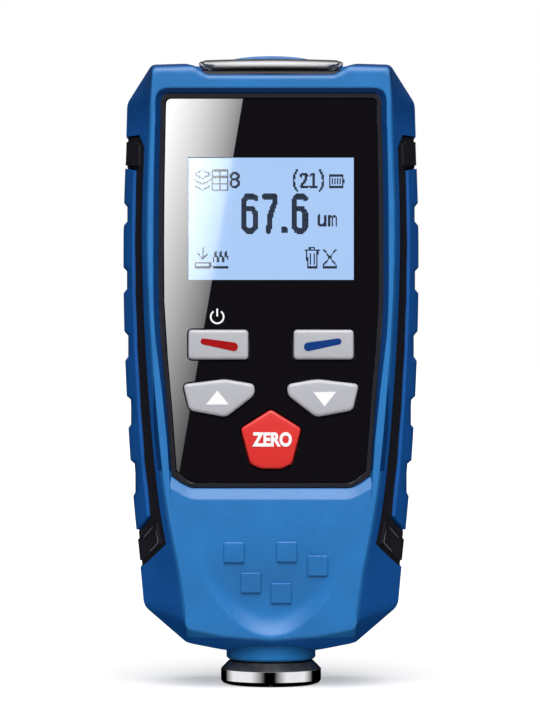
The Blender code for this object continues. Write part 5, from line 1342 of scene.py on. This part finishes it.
across, along = np.meshgrid((-FLOOR_REACH, FLOOR_REACH), (-FLOOR_REACH, FLOOR_REACH))
floor = stage_piece("floor", np.stack([across, along, np.zeros_like(across)], axis=-1), white_floor())
floor.visible_diffuse = floor.visible_glossy = floor.visible_shadow = False
print(f"floor of {2 * FLOOR_REACH:.0f} m")


# %% World
def white_world(around):
    """World that is white to the camera, to mirrors and through glass, and dim as light."""
    world = bpy.data.worlds.new("white_world")
    bpy.context.scene.world = world
    world.use_nodes = True
    nodes, links = world.node_tree.nodes, world.node_tree.links
    rays = nodes.new("ShaderNodeLightPath")
    most = rays.outputs["Is Camera Ray"]
    for ray in ("Is Glossy Ray", "Is Transmission Ray"):
        larger = nodes.new("ShaderNodeMath")
        larger.operation = "MAXIMUM"
        links.new(most, larger.inputs[0])
        links.new(rays.outputs[ray], larger.inputs[1])
        most = larger.outputs[0]
    level = nodes.new("ShaderNodeMapRange")
    level.inputs["To Min"].default_value = around
    level.inputs["To Max"].default_value = 1.0
    links.new(most, level.inputs["Value"])
    nodes["Background"].inputs["Color"].default_value = (1.0, 1.0, 1.0, 1.0)
    links.new(level.outputs[0], nodes["Background"].inputs["Strength"])


WORLD_LIGHT = 0.08
white_world(WORLD_LIGHT)
print("the world gives", WORLD_LIGHT, "of a full white as light")

# %% [markdown]
# Chrome, keys and cap would mirror an even white and look flat. A ring of dark wall with two soft
# white panels stands round them instead, and only mirrors see it. The black window gets a slanted
# white card of its own, set where the camera's rays go after the window has turned them back.

# %% Reflection wall
def soft_edges(value, rise_from, rise_to, fall_from, fall_to):
    """1 between rise_to and fall_from, with straight ramps outside them."""
    up = (value - rise_from) / (rise_to - rise_from)
    down = (fall_to - value) / (fall_to - fall_from)
    return up.math("MINIMUM", down).clipped()


WALL_GLOW, WALL_REACH, WALL_HOLE = 1.05, 0.9, 0.02
WALL_LOW, PANEL_LOW, WALL_HIGH = -0.5, -0.2, 0.8
LEFT_PANEL, RIGHT_PANEL = (14.0, 46.0, 98.0, 126.0), (8.0, 36.0, 82.0, 110.0)      # degrees from the front


def wall_finish():
    """Black wall with a soft white panel on each side, placed by the angle from the front."""
    finish = Finish("reflection_wall")
    x, y, z = finish.axes()
    angle = x.math("ARCTAN2", y * -1.0) * (180.0 / math.pi)
    panels = soft_edges(angle * -1.0, *LEFT_PANEL) + soft_edges(angle, *RIGHT_PANEL)
    finish.surface(finish.glow(panels * z.math("GREATER_THAN", PANEL_LOW) * WALL_GLOW))
    return finish.material


def reflected_only(item):
    """Only mirrors see this piece of the stage: it neither lights nor shades anything else."""
    item.visible_camera = item.visible_diffuse = item.visible_shadow = False
    item.visible_transmission = item.visible_volume_scatter = False


def group_of(name, items):
    """Collection of objects that a light or a glowing piece can be linked to."""
    group = bpy.data.collections.new(name)
    for item in items:
        group.objects.link(item)
    return group


turn, step = np.meshgrid(np.radians(np.linspace(-180.0, 180.0, 91)), np.arange(4))
reach = np.choose(step, (WALL_HOLE, WALL_REACH, WALL_REACH, WALL_HOLE))
height = np.choose(step, (WALL_LOW, WALL_LOW, WALL_HIGH, WALL_HIGH))
ring = np.stack([reach * np.sin(turn), -reach * np.cos(turn), height], axis=-1)
wall = stage_piece("reflection_wall", ring, wall_finish())
reflected_only(wall)
POLISHED = ("chrome_foot", "cap_bar", "lens_lip", "soft_key_left", "soft_key_right", "arrow_key_up",
            "arrow_key_down", "reset_key")
wall.light_linking.receiver_collection = group_of("polished", [PIECES[name] for name in POLISHED])
print(len(POLISHED), "polished pieces mirror the wall")

# %% Card that the window mirrors
EYE = Vector((0.0, -0.6225, 0.0588))
CARD_BACK = 0.70
CARD_EDGE = ((-3.9, 112.0), (-5.0, 105.4), (-16.6, 37.4), (-17.7, 31.0))       # seen in the window, mm
CARD_FAR = -32 * MM
EDGE_X, EDGE_Z, EDGE_SLOPE = -0.0107, 0.1589, 0.1705        # a point of the slanted edge and its slope
OUTER_X, HIGH_Z = -0.046, 0.159                             # where the card's glow comes to its full
SLANT_GLOW, HIGH_GLOW, LEAST_GLOW = 26.0, 5.0, 1.5


def mirrored_to_card(x, z):
    """Where the camera's ray, mirrored by the window at (x, z), meets the card's plane."""
    grow = CARD_BACK / (LENS_FACE - EYE.y)
    return x + x * grow, LENS_FACE - CARD_BACK, z + (z - EYE.z) * grow


def card_finish():
    """White card lit unevenly: brightest at its outer upper side."""
    finish = Finish("window_card")
    x, _, z = finish.axes()
    edge = (z - EDGE_Z) * EDGE_SLOPE + EDGE_X
    inward = ((edge - x) / (edge - OUTER_X)).math("MAXIMUM", 0.0).math("MINIMUM", 1.2)
    high = (z / HIGH_Z).math("MAXIMUM", 0.1)
    slant = inward.math("POWER", 0.9) * SLANT_GLOW * high.math("POWER", 1.1)
    finish.surface(finish.glow(slant + high * HIGH_GLOW + LEAST_GLOW))
    return finish.material


card_edge = [mirrored_to_card(x * MM, z * MM) for x, z in CARD_EDGE]
card_far = [mirrored_to_card(CARD_FAR, z * MM) for _, z in CARD_EDGE]
card = stage_piece("window_card", np.array([card_edge, card_far]), card_finish())
reflected_only(card)
WINDOW_PIECES = ("backlight_film", "display_cells", "lens_lip")
mirrors = [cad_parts["lens_panel"], *(PIECES[name] for name in WINDOW_PIECES)]
card.light_linking.receiver_collection = group_of("window_mirror", mirrors)
print(f"the card stands {CARD_BACK * 100:.0f} cm in front of the window")


# %% Lamps
def soft_sun(name, energy, elevation, angle, only=""):
    """Sun at an elevation counted from the front, so that one past 90 degrees stands behind; only
    names the kind of light it gives, if not all."""
    lamp = bpy.data.lights.new(name, "SUN")
    lamp.energy, lamp.angle = energy, math.radians(angle)
    item = into_scene(name, lamp)
    up = math.radians(elevation)
    item.rotation_euler = Vector((0.0, math.cos(up), -math.sin(up))).to_track_quat("-Z", "Y").to_euler()
    item.visible_glossy = only != "diffuse"
    item.visible_diffuse = only != "glossy"
    return item


def linked(name, item, state="INCLUDE"):
    """Collection that lets a lamp reach only this item, or everything but this item."""
    group = group_of(name, [item])
    group.collection_objects[0].light_linking.link_state = state
    return group


off_floor = linked("off_floor", floor, "EXCLUDE")
LAMPS = (("key_light", 3.5, 42.0, 46.0, "diffuse"), ("gleam_light", 6.4, 60.0, 60.0, "glossy"),
         ("table_bounce", 1.1, -70.0, 80.0, "diffuse"), ("back_light", 1.5, 145.0, 60.0, ""))
for name, energy, elevation, angle, only in LAMPS:
    soft_sun(name, energy, elevation, angle, only).light_linking.receiver_collection = off_floor
floor_light = soft_sun("floor_light", 3.2, 66.0, 70.0, "diffuse")
floor_light.light_linking.receiver_collection = linked("lit_floor", floor)

# %% Camera
view = bpy.data.cameras.new("camera")
view.sensor_fit = "VERTICAL"
view.sensor_height = 36.0
view.lens = 171.0
view.clip_start = 0.01
view.shift_x = -1.0 / 720.0     # the gauge stands one pixel right of the photograph's middle
camera = into_scene("camera", view)
camera.location = EYE
camera.rotation_euler = (math.pi / 2, 0.0, 0.0)
bpy.context.scene.camera = camera
bpy.context.scene.view_settings.view_transform = "Standard"
print(f"camera {-EYE.y * 100:.1f} cm in front, {view.lens:.0f} mm lens")
